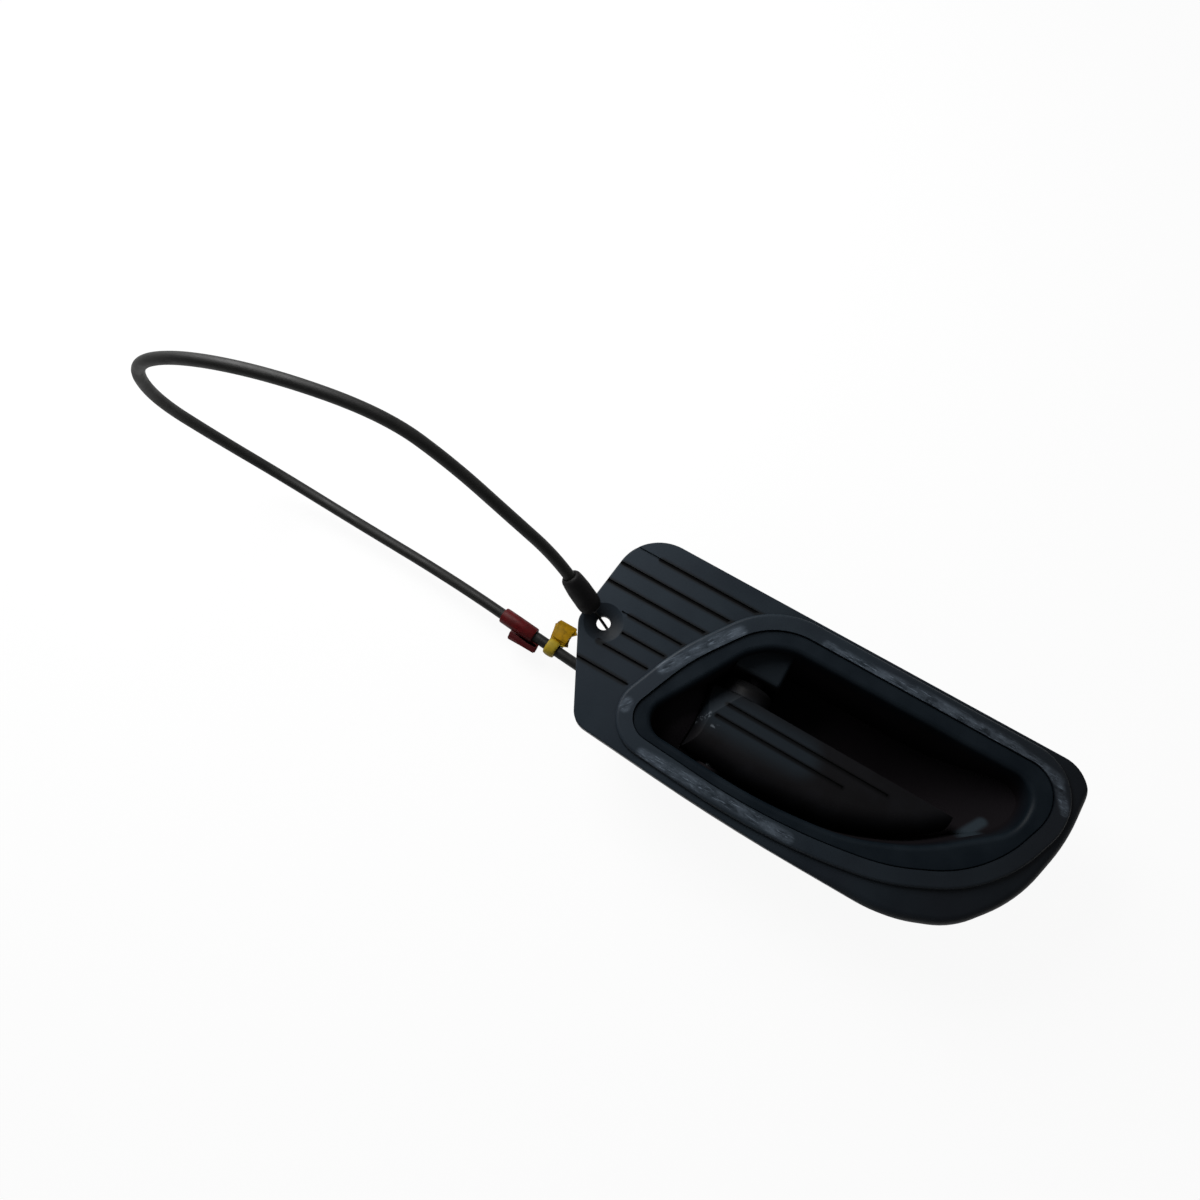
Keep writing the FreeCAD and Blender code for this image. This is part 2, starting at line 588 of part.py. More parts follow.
def flat_edges(shape, height):
    """The edges that lie at one height: number and middle point."""
    found = []
    for place, edge in enumerate(shape.Edges, start=1):
        bounds = edge.BoundBox
        if abs(bounds.ZMin - height) < 1e-5 and abs(bounds.ZMax - height) < 1e-5:
            middle = edge.valueAt((edge.FirstParameter + edge.LastParameter) / 2)
            found.append((place, middle))
    return found


# The plate: block, rolled edge, hollow underside
plate_block = slab("plate_block", plate_line, skirt_end, "plate_top")
thin_edges = [
    (place, size("edge_break"), size("edge_break"))
    for place, middle in flat_edges(ready(plate_block), size("plate_top"))
]
plate_thin = fillet("plate_thin", plate_block, thin_edges)
ready(plate_thin)
roll_left = "left_vertex_x - 60"
roll_line = outline("roll_line", [
    (roll_left, "plate_far + 20"),
    (roll_left, "plate_near - roll_lean * (sweep_1_x - left_vertex_x + 60)"),
    *PLATE_CORNERS[4:8],
    ("plate_right", "plate_far + 20"),
], z="plate_top")
roll_block = slab("roll_block", roll_line, skirt_end + " - 5", "plate_top")
roll_edges = [
    (place, size("edge_roll"), size("edge_roll"))
    for place, middle in flat_edges(ready(roll_block), size("plate_top"))
]
roll_room = fillet("roll_room", roll_block, roll_edges)
ready(roll_room)
plate_rolled = common("plate_rolled", plate_thin, roll_room)
plate_inside = grown("plate_inside", plate_line, "-skirt_wall")
plate_hollow = slab("plate_hollow", plate_inside, skirt_end + " - 1", plate_under)
plate_shell = cut("plate_shell", plate_rolled, plate_hollow)

# Ribs and clip towers, kept clear of the cup's flange
under_parts = []
for place, where in enumerate(("rib_1_y", "rib_2_y", "rib_3_y"), start=1):
    rib = box(
        f"rib_{place}", "70", "rib_thick", "rib_height + 0.5",
        "left_vertex_x", f"{where} - rib_thick / 2", f"{plate_under} - rib_height",
    )
    under_parts.append(rib)
flange_line = grown("flange_line", parting_line, "flange_reach")
rib_room_line = grown("rib_room_line", parting_line, "ear_offset + ear_radius + seat_gap")
rib_room = slab("rib_room", rib_room_line, skirt_end + " - 2", "plate_top")
ribs_raw = fuse("ribs_raw", *under_parts)
inside_touch = grown("inside_touch", plate_line, "-skirt_wall / 2")
inside_slab = slab("inside_slab", inside_touch, skirt_end + " - 2", "plate_top")
ribs_fit = common("ribs_fit", ribs_raw, inside_slab)
ribs = cut("ribs", ribs_fit, rib_room)
TOWERS = [("tower_1", "along"), ("tower_2", "along"), ("tower_3", "across")]
towers = []
for name, way in TOWERS:
    long, thick = ("tower_length", "tower_thick") if way == "along" else ("tower_thick", "tower_length")
    towers.append(box(
        name, long, thick, "tower_height + 0.5",
        f"{name}_x - {long} / 2", f"{name}_y - {thick} / 2", f"{plate_under} - tower_height",
    ))

# Screw boss: a pad below, a dish above and the hole
boss_pad = cylinder(
    "boss_pad", "dish_radius + boss_wall", "dish_depth + boss_floor - 0.5",
    "boss_x", "boss_y", "plate_top - dish_depth - boss_floor",
)
dish_ball_radius = "(dish_radius ^ 2 + dish_depth ^ 2) / (2 * dish_depth)"
dish_ball = ball("dish_ball", dish_ball_radius, "boss_x", "boss_y", f"plate_top - dish_depth + {dish_ball_radius}")
boss_hole = cylinder("boss_hole", "boss_hole_radius", "20", "boss_x", "boss_y", "plate_top - 12")

# The raised band
band_line = grown("band_line", parting_line, "band_width")
band_block = slab("band_block", band_line, plate_under, "plate_top + band_height")
band_edges = [
    (place, size("band_round"), size("band_round"))
    for place, middle in flat_edges(ready(band_block), size("plate_top") + size("band_height"))
]
band = fillet("band", band_block, band_edges)
ready(band)

# Grooves: they run from the cable end's edge or from the boss up to the band
groove_parts = []
from_edge, from_boss = "left_vertex_x - 5", "boss_x + dish_radius * 0.5"
GROOVES = [
    ("groove_1", "groove_wide", from_edge),
    ("groove_2", "groove_wide", from_edge),
    ("groove_3", "groove_wide", from_edge),
    ("groove_4", "groove_narrow", from_boss),
    ("groove_5", "groove_narrow", from_boss),
    ("groove_6", "groove_narrow", from_boss),
    ("groove_7", "groove_narrow", from_edge),
]
for name, width, start in GROOVES:
    groove_parts.append(box(
        name, f"part_1_x - ({start})", width, "groove_depth + 5",
        start, f"{name}_y - {width} / 2", "plate_top - groove_depth",
    ))
groove_bars = fuse("groove_bars", *groove_parts)
groove_stop_line = grown("groove_stop_line", parting_line, "band_width + groove_gap")
groove_stop = slab("groove_stop", groove_stop_line, "plate_top - 5", "plate_top + 10")
boss_keep = cylinder("boss_keep", "dish_radius + 0.4", "12", "boss_x", "boss_y", "plate_top - 5")
grooves_ended = cut("grooves_ended", groove_bars, groove_stop)
grooves = cut("grooves", grooves_ended, boss_keep)

# Screws of the cup: places in the middle of straight sides of the parting line
SCREW_SIDES = [
    "part_1_radius", "part_2_radius", "part_3_radius", "part_5_radius", "part_6_radius", "part_9_radius",
]


def screw_place(a, b):
    """Formulas of a screw's centre beside the middle of a side of the parting line."""
    run = Vector(number(b[0]) - number(a[0]), number(b[1]) - number(a[1]), 0).normalize()
    x = f"({a[0]} + {b[0]}) / 2 + ear_offset * {run.y:.5f}"
    y = f"({a[1]} + {b[1]}) / 2 - ear_offset * {run.x:.5f}"
    return x.replace("+ ear_offset * -", "- ear_offset * "), y.replace("- ear_offset * -", "+ ear_offset * ")


SCREWS = [
    screw_place(a, b)
    for a, b in zip(PARTING_CORNERS, PARTING_CORNERS[1:] + PARTING_CORNERS[:1])
    if a[-1] in SCREW_SIDES
]
pilot_holes = [
    cylinder(f"pilot_{i}", "screw_radius + 0.05", "screw_bite + 1.2", x, y, plate_under + " - 1")
    for i, (x, y) in enumerate(SCREWS, start=1)
]
plate_mouth = slab("plate_mouth", parting_line, plate_under + " - 5", "plate_top + 10")
plate_whole = fuse("plate_whole", plate_shell, band, ribs, boss_pad, *towers)
plate_cutters = fuse("plate_cutters", plate_mouth, dish_ball, boss_hole, grooves, *pilot_holes)
plate_cutters.Refine = False
escutcheon_plate = cut("escutcheon_plate", plate_whole, plate_cutters)
ready(escutcheon_plate)

# The cup: lip with rounded mouth
lip_line = grown("lip_line", parting_line, "-parting_gap")
lip_block = slab("lip_block", lip_line, flange_under, lip_top)
mouth_cut = slab("mouth_cut", mouth_line, "plate_top - 8", "plate_top + 10")
lip_ring = cut("lip_ring", lip_block, mouth_cut)
lip_edges = []
lip_shape = ready(lip_ring)
mouth_wire = mouth_line.Shape
for place, middle in flat_edges(lip_shape, number(lip_top)):
    middle.z = size("plate_top")
    inner = mouth_wire.distToShape(Part.Vertex(middle))[0] < 0.05
    radius = size("lip_round") if inner else 0.5
    lip_edges.append((place, radius, radius))
lip = fillet("lip", lip_ring, lip_edges)
ready(lip)

# Flange with screw ears, and the drafted bowl
flange_slab = slab("flange_slab", flange_line, flange_under, plate_under)
ears = [
    cylinder(f"ear_{i}", "ear_radius", "flange_thick", x, y, flange_under)
    for i, (x, y) in enumerate(SCREWS, start=1)
]
ear_holes = [
    cylinder(f"ear_hole_{i}", "screw_radius + screw_clearance", "10", x, y, flange_under + " - 2")
    for i, (x, y) in enumerate(SCREWS, start=1)
]
flange_whole = fuse("flange_whole", flange_slab, *ears)
flange = cut("flange", flange_whole, mouth_cut)


def tapered(name, top, bottom):
    made = doc.addObject("Part::Loft", name)
    made.Sections = [bottom, top]
    made.Solid = True
    made.Ruled = True
    return made


bowl_top = outline("bowl_top", MOUTH_CORNERS, z="plate_top - 5")
bowl_out_top = grown("bowl_out_top", bowl_top, "cup_wall")
bowl_out_foot = grown("bowl_out_foot", mouth_foot, "cup_wall - (plate_top - 5) * cup_draft")
bowl_in_foot = grown("bowl_in_foot", mouth_foot, "-(plate_top - 5) * cup_draft")
bowl_outer = tapered("bowl_outer", bowl_out_top, bowl_out_foot)
bowl_inner = tapered("bowl_inner", bowl_top, bowl_in_foot)
turn_share = "(sqrt(1 + floor_rise ^ 2) - 1) / floor_rise"
outer_side = outline("outer_side", [
    ("left_vertex_x", "0"),
    (f"floor_turn_x + cup_floor * {turn_share}", "0", "floor_round + cup_floor"),
    ("plate_right + 10", f"(plate_right + 10 - floor_turn_x - cup_floor * {turn_share}) * floor_rise"),
    ("plate_right + 10", "plate_top + 30"),
    ("left_vertex_x", "plate_top + 30"),
], ON_XZ)
inner_side = outline("inner_side", [
    ("left_vertex_x", "cup_floor"),
    ("floor_turn_x", "cup_floor", "floor_round"),
    ("plate_right + 10", "cup_floor + (plate_right + 10 - floor_turn_x) * floor_rise"),
    ("plate_right + 10", "plate_top + 30"),
    ("left_vertex_x", "plate_top + 30"),
], ON_XZ)
outer_room = extrude("outer_room", outer_side, "80", "80", Vector(0, 1, 0))
inner_room = extrude("inner_room", inner_side, "80", "80", Vector(0, 1, 0))
bowl_body = common("bowl_body", bowl_outer, outer_room)
cavity = common("cavity", bowl_inner, inner_room)
ready(bowl_body)
ready(cavity)

# Cable bay: block and dome inside the bowl, freed where the lever's drum turns
bay_block = box(
    "bay_block", "block_right - block_left", "block_far - mouth_2_y + 9.3", "block_top",
    "block_left", "mouth_2_y - 9.3", "0",
)
dome = ball("dome", "dome_radius", "dome_x", "dome_y", "dome_z")
cover_raw = fuse("cover_raw", bay_block, dome)
drum_sweep = cylinder(
    "drum_sweep", "drum_radius + drum_gap", "lever_far + hub_length + 1.1 - near_bearing_in - drum_gap",
    "hinge_x", "near_bearing_in + drum_gap", "hinge_z", ALONG_Y,
)
left_half = box("left_half", "100", "120", "120", "hinge_x - 100", "-60", "-40")
sweep_left = common("sweep_left", drum_sweep, left_half)
cover_cut = cut("cover_cut", cover_raw, sweep_left)
cover = common("cover", cover_cut, bowl_body)
bay_hollow = box(
    "bay_hollow", "block_right - bay_wall - bay_left", "bay_far - bay_near", "block_top - bay_wall + 1",
    "bay_left", "bay_near", "-1",
)
core_ball = ball("core_ball", "dome_radius - bay_wall", "dome_x", "dome_y", "dome_z")
core_box_1 = box("core_box_1", "22", "bay_far - bay_near", "41", "bay_left", "bay_near", "-1")
core_box_2 = box("core_box_2", "24", "15", "41", "-70", "block_far", "-1")
core_1 = common("core_1", core_ball, core_box_1)
core_2 = common("core_2", core_ball, core_box_2, bowl_inner)
cores = fuse("cores", core_1, core_2)
drum_wall = cylinder(
    "drum_wall", "drum_radius + drum_gap + bay_wall", "60", "hinge_x", "-40", "hinge_z", ALONG_Y,
)
dome_cores = cut("dome_cores", cores, drum_wall)
well_left = "(hinge_x - drum_radius - drum_gap - 0.05)"
well = box(
    "well", f"well_right - {well_left}", "bay_far - bay_near - 0.5", "hinge_z + 4",
    well_left, "bay_near + 0.5", "-1",
)
bridge = box("bridge", "bridge_length", "bay_far - bay_near + 1", "cup_floor", "bridge_left", "bay_near - 0.5", "0")

# Facet block and bearings of the axle
facet_side = outline("facet_side", [
    ("facet_left", "0"),
    ("facet_right + facet_spread", "0"),
    ("facet_right", "facet_top"),
    ("facet_left", "facet_top"),
], ON_XZ)
facet_raw = extrude("facet_raw", facet_side, "34", "-facet_near", Vector(0, 1, 0))
facet_edges = []
for place, edge in enumerate(ready(facet_raw).Edges, start=1):
    ends = [vertex.Point for vertex in edge.Vertexes]
    on_top = all(abs(end.z - size("facet_top")) < 1e-4 for end in ends)
    on_near = all(abs(end.y - size("facet_near")) < 1e-4 for end in ends)
    on_right = all(end.x > size("facet_left") + 1e-4 for end in ends)
    if on_top + on_near + on_right > 1:
        facet_edges.append((place, size("facet_round"), size("facet_round")))
facet_soft = fillet("facet_soft", facet_raw, facet_edges)
facet_block = common("facet_block", facet_soft, bowl_body)
facet_core = box(
    "facet_core", "facet_right - facet_left - 5", "12.4", "20",
    "facet_left + 4", "facet_near + facet_wall", "-1",
)
near_bearing = cylinder(
    "near_bearing", "bearing_radius", "near_bearing_length",
    "hinge_x", "near_bearing_out", "hinge_z", ALONG_Y,
)
far_bearing = cylinder(
    "far_bearing", "bearing_radius", "far_bearing_length",
    "hinge_x", "far_bearing_out - far_bearing_length", "hinge_z", ALONG_Y,
)
thrust_boss = cylinder(
    "thrust_boss", "axle_boss_radius", "facet_near - lever_far - hub_length - seat_gap + 1",
    "hinge_x", "lever_far + hub_length + seat_gap", "hinge_z", ALONG_Y,
)
axle_bore = cylinder(
    "axle_bore", "axle_radius + running_clearance", "90", "hinge_x", "-45", "hinge_z", ALONG_Y,
)

# Bracket of the handle end ferrule, and the notch of the cup's wall
wire_height = "(hinge_z - crank_length * (1 + cos(lever_swing / 2)) / 2)"
bracket = box(
    "bracket", "bracket_thick", "bay_far - bay_near + 1", "block_top - 1",
    "bracket_x - bracket_thick", "bay_near - 0.5", "0",
)
slot_round = cylinder(
    "slot_round", "ferrule_neck + 0.1", "10", "bracket_x - 7", "wire_y", wire_height, ALONG_X,
)
slot_open = box(
    "slot_open", "10", "2 * ferrule_neck + 0.2", wire_height + " + 1",
    "bracket_x - 7", "wire_y - ferrule_neck - 0.1", "-1",
)
notch_round = cylinder(
    "notch_round", "ferrule_body + notch_play", "20", "ferrule_end + 1", "wire_y", wire_height, ALONG_X,
)
notch_open = box(
    "notch_open", "20", "2 * (ferrule_body + notch_play)", wire_height + " + 1",
    "ferrule_end + 1", "wire_y - ferrule_body - notch_play", "-1",
)
buffer_hole = cylinder("buffer_hole", "buffer_stem + 0.05", "10", "buffer_x", "wire_y", "block_top - 5")

cup_walls = cut("cup_walls", bowl_body, cavity)
cup_solid = fuse("cup_solid", cup_walls, cover, facet_block)
cup_cutters = fuse("cup_cutters", bay_hollow, dome_cores, well, facet_core)
cup_cored = cut("cup_cored", cup_solid, cup_cutters)
cup_joined = fuse(
    "cup_joined", cup_cored, flange, lip, near_bearing, far_bearing, thrust_boss, bracket, bridge,
)
cup_holes = fuse(
    "cup_holes", axle_bore, slot_round, slot_open, notch_round, notch_open, buffer_hole, *ear_holes,
)
cup_holes.Refine = False
cup_housing = cut("cup_housing", cup_joined, cup_holes)
ready(cup_housing)

# The lever: a plan with a soft near flank under a sloping face
far_x = "(mouth_2_x - 30)"
flank_line = outline("flank_line", [
    (far_x, "mouth_2_y + 30 * (mouth_2_y - mouth_3_y) / (mouth_3_x - mouth_2_x)"),
    ("mouth_3_x", "mouth_3_y", "mouth_3_radius"),
    ("mouth_4_x", "mouth_4_y", "mouth_4_radius"),
    ("mouth_5_x", "mouth_5_y", "mouth_5_radius"),
    ("mouth_right", "mouth_6_y"),
    ("mouth_right", "mouth_top"),
    (far_x, "mouth_top"),
], z="plate_top")
face_angle = math.degrees(math.atan(size("face_fall")))

# Behind the slanted rear edge of its face the lever falls away in a slope
SLOPE = math.radians(size("slope_fall"))
EDGE_WAY = Vector(size("slant_lean"), 1, 0).normalize()
DOWN_WAY = Vector(-EDGE_WAY.y, EDGE_WAY.x, 0) * math.cos(SLOPE) - Vector(0, 0, math.sin(SLOPE))
UP_WAY = EDGE_WAY.cross(DOWN_WAY)
SLOPE_TURN = Rotation(EDGE_WAY, DOWN_WAY, UP_WAY, "ZXY")


def face_at(x, below="0"):
    """Height of the lever's face plane at a place along X."""
    return f"hinge_z + face_height - ({x} - hinge_x) * face_fall - ({below})"


def lever_body(tag, inset, below, depth):
    """The lever's outer form, or the hollow inside it."""
    plan = grown(f"lever_plan_{tag}", flank_line, f"-lever_gap - {inset}")
    block = slab(f"lever_block_{tag}", plan, "hinge_z - 30", "plate_top + 10")
    lid = box(
        f"lever_lid_{tag}", "260", "120", "40", far_x, "-60", face_at(far_x, below),
        Rotation(Vector(0, 1, 0), face_angle),
    )
    capped = cut(f"lever_capped_{tag}", block, lid)
    radius = size("lever_roll") - number(below)
    near = []
    for place, edge in enumerate(ready(capped).Edges, start=1):
        on_face = all(
            abs(v.Point.z - number(face_at(f"({v.Point.x:.6f})", below))) < 1e-3 for v in edge.Vertexes
        )
        if on_face and edge.BoundBox.XLength > 0.1 and edge.BoundBox.YMax < size("mouth_top") / 2:
            near.append((place, radius, radius))
    rolled = fillet(f"lever_rolled_{tag}", capped, near)
    ready(rolled)
    tip = f"lever_tip - {inset}"
    rear = "hinge_x - drum_radius - 1"
    side = outline(f"lever_side_{tag}", [
        (rear, f"hinge_z - lever_under_rear - {depth}"),
        (tip, f"hinge_z - lever_under_tip - {depth}"),
        (tip, face_at("lever_tip", below) + " + 0.02", "lever_nose"),
        (rear, face_at(f"({rear})", below) + " + 0.02"),
    ], ON_XZ)
    side_room = extrude(f"lever_side_room_{tag}", side, "60", "60", Vector(0, 1, 0))
    drum = cylinder(f"drum_{tag}", f"drum_radius - {inset}", "100", "hinge_x", "-50", "hinge_z", ALONG_Y)
    front = box(f"drum_front_{tag}", "150", "100", "100", "hinge_x", "-50", "hinge_z - 50")
    drum_front = fuse(f"drum_and_front_{tag}", drum, front)
    across_room = box(
        f"lever_across_room_{tag}", "150", "lever_far - slant_y + 40 - " + inset, "plate_top + 30",
        rear, "slant_y - 40", "-10",
    )
    whole = common(f"lever_whole_{tag}", rolled, side_room, drum_front, across_room)
    corner = [
        f"{start} - {60 * EDGE_WAY[axis]:.6f} - {inset} * {UP_WAY[axis]:.6f}".replace("* -", "* -1 * ")
        for axis, start in enumerate(("slant_x", "slant_y", face_at("slant_x", "0")))
    ]
    slope = box(f"lever_slope_{tag}", "120", "60", "40", *corner, SLOPE_TURN)
    return cut(f"lever_{tag}", whole, slope)


lever_outer = lever_body("outer", "0", "0", "0")
lever_inner = lever_body("inner", "lever_wall", "lever_wall", "15")
lever_shell = cut("lever_shell", lever_outer, lever_inner)
hub_raw = cylinder("hub_raw", "hub_radius", "hub_length", "hinge_x", "lever_far", "hinge_z", ALONG_Y)
hub_end = [
    (place, size("hub_round"), size("hub_round"))
    for place, edge in enumerate(ready(hub_raw).Edges, start=1)
    if abs(edge.BoundBox.YMin - size("lever_far") - size("hub_length")) < 1e-4
]
hub = fillet("hub", hub_raw, hub_end)
hub_hollow = cylinder(
    "hub_hollow", "hub_radius - lever_wall", "hub_length + lever_wall - 2",
    "hinge_x", "lever_far - lever_wall", "hinge_z", ALONG_Y,
)
axle_boss = cylinder(
    "axle_boss", "axle_boss_radius", "lever_far + hub_length - 0.5 + 28", "hinge_x", "-28", "hinge_z", ALONG_Y,
)
half_swing = "(lever_swing / 2)"
crank_turn = Rotation(Vector(0, 1, 0), size("lever_swing") / 2)
crank_end_x = f"hinge_x - crank_length * sin{half_swing}"
crank_end_z = f"hinge_z - crank_length * cos{half_swing}"
lever_parts = [hub]
for side, start in (("near", "wire_y - cheek_gap / 2 - cheek_thick"), ("far", "wire_y + cheek_gap / 2")):
    rib = box(
        f"lever_rib_{side}", "13 + lever_rib_reach", "cheek_thick", "20",
        "hinge_x - 13", start, "hinge_z - lever_under_tip",
    )
    lever_parts.append(common(f"lever_rib_fit_{side}", rib, lever_outer))
    lever_parts.append(box(
        f"crank_arm_{side}", "2 * crank_radius", "cheek_thick", "crank_length",
        f"{crank_end_x} - crank_radius * cos{half_swing}", start,
        f"{crank_end_z} + crank_radius * sin{half_swing}", crank_turn,
    ))
    lever_parts.append(cylinder(
        f"crank_end_{side}", "crank_radius", "cheek_thick", crank_end_x, start, crank_end_z, ALONG_Y,
    ))
spring_pad_raw = box(
    "spring_pad_raw", "4.5", "2.2", "8", "hinge_x - spring_leg - 1", "spring_y - 1.3",
    "hinge_z + spring_radius + spring_wire",
)
spring_pad = common("spring_pad", spring_pad_raw, lever_outer)
lever_grooves = []
for place in (1, 2):
    start = f"lever_groove_start + {2 - place} * 2.6"
    lever_grooves.append(box(
        f"lever_groove_{place}", f"lever_groove_{place}_end - ({start})", "lever_groove_width", "6",
        start, f"lever_groove_{place}_y - lever_groove_width / 2", face_at(f"({start})", "lever_groove_depth"),
        Rotation(Vector(0, 1, 0), face_angle),
    ))
nipple_seats = [
    cylinder(
        f"nipple_seat_{name}", "nipple_radius + nipple_play", "nipple_length + 4",
        f"{crank_end_x} {sign} nipple_slot * sin{half_swing}", "wire_y - nipple_length / 2 - 2",
        f"{crank_end_z} {sign} nipple_slot * cos{half_swing}", ALONG_Y,
    )
    for name, sign in (("low", "-"), ("high", "+"))
]
lever_hollowed = cut("lever_hollowed", lever_shell, hub_hollow)
hub_cup = cut("hub_cup", hub, hub_hollow)
lever_joined = fuse("lever_joined", lever_hollowed, hub_cup, axle_boss, spring_pad, *lever_parts[1:])
lever_cutters = fuse("lever_cutters", axle_bore, *lever_grooves, *nipple_seats)
lever_cutters.Refine = False
pull_lever = cut("pull_lever", lever_joined, lever_cutters)
ready(pull_lever)

# Axle pin with head, and its retaining clip
pin_shank = cylinder(
    "pin_shank", "axle_radius", "far_bearing_out + axle_end - near_bearing_out",
    "hinge_x", "near_bearing_out", "hinge_z", ALONG_Y,
)
pin_head = cylinder(
    "pin_head", "axle_head_radius", "axle_head_height",
    "hinge_x", "near_bearing_out - axle_head_height", "hinge_z", ALONG_Y,
)
clip_ring = cylinder(
    "clip_ring", "circlip_radius", "circlip_thick", "hinge_x", "far_bearing_out + 0.2", "hinge_z", ALONG_Y,
)
clip_core = cylinder(
    "clip_core", "axle_radius - circlip_groove", "circlip_thick", "hinge_x", "far_bearing_out + 0.2",
    "hinge_z", ALONG_Y,
)
pin_groove = cut("pin_groove", clip_ring, clip_core)
clip_mouth = box(
    "clip_mouth", "circlip_mouth", "4", "10", "hinge_x - circlip_mouth / 2", "far_bearing_out - 1", "hinge_z",
)
axle_retaining_clip = cut("axle_retaining_clip", pin_groove, clip_mouth)
pin_whole = fuse("pin_whole", pin_shank, pin_head)
axle_pin = cut("axle_pin", pin_whole, pin_groove)

# Rest buffer
buffer_head = cylinder(
    "buffer_head", "buffer_radius", "hinge_z - lever_under_tip - 0.3 - block_top", "buffer_x", "wire_y", "block_top",
)
buffer_stem = cylinder("buffer_stem_part", "buffer_stem", "3.5", "buffer_x", "wire_y", "block_top - 3.2")
rest_buffer = fuse("rest_buffer", buffer_head, buffer_stem)

# Handle end of the cable: ferrule, wire and nipple
ferrule_parts = [
    cylinder("ferrule_barrel", "ferrule_body", "bracket_x - bracket_thick - 1 - ferrule_end",
             "ferrule_end", "wire_y", wire_height, ALONG_X),
    cylinder("collar_outer", "ferrule_collar - 0.4", "collar_thick",
             "bracket_x - bracket_thick - collar_thick", "wire_y", wire_height, ALONG_X),
    cylinder("ferrule_waist", "ferrule_neck", "bracket_thick + 2",
             "bracket_x - bracket_thick - 1", "wire_y", wire_height, ALONG_X),
    cylinder("collar_inner", "ferrule_collar - 0.4", "collar_thick", "bracket_x", "wire_y", wire_height, ALONG_X),
]
ferrule_whole = fuse("ferrule_whole", *ferrule_parts)
ferrule_socket = cylinder(
    "ferrule_socket", "conduit_radius + socket_play", "ferrule_stop - ferrule_end + 1",
    "ferrule_end - 1", "wire_y", wire_height, ALONG_X,
)
ferrule_bore = cylinder(
    "ferrule_bore", "wire_radius + bore_play", "40", "ferrule_stop - 1", "wire_y", wire_height, ALONG_X,
)
ferrule_cuts = fuse("ferrule_cuts", ferrule_socket, ferrule_bore)
handle_end_ferrule = cut("handle_end_ferrule", ferrule_whole, ferrule_cuts)
handle_end_wire = cylinder(
    "handle_end_wire", "wire_radius", f"{crank_end_x} - handle_wire_start",
    "handle_wire_start", "wire_y", wire_height, ALONG_X,
)
nipple_bar = cylinder(
    "nipple_bar", "nipple_radius", "nipple_length", crank_end_x, "wire_y - nipple_length / 2", wire_height, ALONG_Y,
)
nipple_bore = cylinder(
    "nipple_bore", "wire_radius + 0.05", "6", f"{crank_end_x} - 6", "wire_y", wire_height, ALONG_X,
)
handle_end_nipple = cut("handle_end_nipple", nipple_bar, nipple_bore)

# Return spring: coil round the axle boss, one leg under the lever, one under the bay's roof
def spring_shape():
    """The spring as one wire swept along leg, coil, leg."""
    radius, thick = size("spring_radius"), size("spring_wire")
    turns, pitch = size("spring_turns"), size("spring_pitch")
    coil = Part.makeHelix(pitch, pitch * turns, radius)
    base = Vector(size("hinge_x"), size("spring_y"), size("hinge_z"))
    spin = Rotation(Vector(0, 1, 0), -90).multiply(Rotation(Vector(1, 0, 0), -90))
    coil.Placement = Placement(base, spin)
    edges = coil.Edges
    first, last = edges[0], edges[-1]
    start, begin = first.valueAt(first.FirstParameter), first.tangentAt(first.FirstParameter)
    stop, leave = last.valueAt(last.LastParameter), last.tangentAt(last.LastParameter)
    bend = size("spring_bend")
    drop = (size("spring_drop") - bend) / abs(leave.z)
    low = stop + leave * drop
    turn = low + Vector(bend, 0, 0)
    bent = turn + leave * bend
    middle = turn + (leave - Vector(1, 0, 0)).normalize() * bend
    path = [Part.makeLine(start - begin * size("spring_leg"), start), *edges, Part.makeLine(stop, low)]
    path.append(Part.Arc(low, middle, bent).toShape())
    path.append(Part.makeLine(bent, bent + Vector(size("spring_foot") - bend, 0, 0)))
    ring = Part.Wire(Part.makeCircle(thick, path[0].valueAt(path[0].FirstParameter), begin))
    return Part.Wire(path).makePipeShell([ring], True, False)


return_spring = doc.addObject("Part::Feature", "return_spring")
return_spring.Shape = spring_shape()


# Free conduit: straight runs joined by tangent arcs
def conduit_wire():
    """The conduit's middle line."""
    points = [Vector(*place) for place in ROUTE]
    edges, last, radii = [], points[0], []
    for index in range(1, len(points) - 1):
        before = (points[index] - points[index - 1]).normalize()
        after = (points[index + 1] - points[index]).normalize()
        turn = before.getAngle(after)
        runs = (points[index].distanceToPoint(points[index - 1]), points[index].distanceToPoint(points[index + 1]))
        reach = 0.45 * min(runs)
        radius = reach / math.tan(turn / 2)
        radii.append(radius)
        first, final = points[index] - before * reach, points[index] + after * reach
        inward = (after - before).normalize()
        middle = points[index] + inward * (radius / math.cos(turn / 2) - radius)
        edges.append(Part.makeLine(last, first))
        edges.append(Part.Arc(first, middle, final).toShape())
        last = final
    edges.append(Part.makeLine(last, points[-1]))
    print("smallest conduit radius", round(min(radii), 1))
    return Part.Wire(edges)


conduit_path = doc.addObject("Part::Feature", "conduit_path")
conduit_path.Shape = conduit_wire()
conduit = doc.addObject("Part::Feature", "conduit")
heading = (Vector(*ROUTE[1]) - Vector(*ROUTE[0])).normalize()
section = Part.Wire(Part.makeCircle(size("conduit_radius"), Vector(*ROUTE[0]), heading))
conduit.Shape = conduit_path.Shape.makePipeShell([section], True, False)
swept = math.pi * size("conduit_radius") ** 2 * conduit_path.Shape.Length
print("conduit length", round(conduit_path.Shape.Length, 1), "volume share", round(conduit.Shape.Volume / swept, 4))

# Lock end of the cable: everything stands on one sloping axis through the screw hole
BACK = Vector(
    -math.cos(math.radians(size("lock_slope"))) * math.cos(math.radians(size("lock_heading"))),
    -math.cos(math.radians(size("lock_slope"))) * math.sin(math.radians(size("lock_heading"))),
    math.sin(math.radians(size("lock_slope"))),
)
LOCK_TURN = Rotation(Vector(0, 0, 1), BACK)


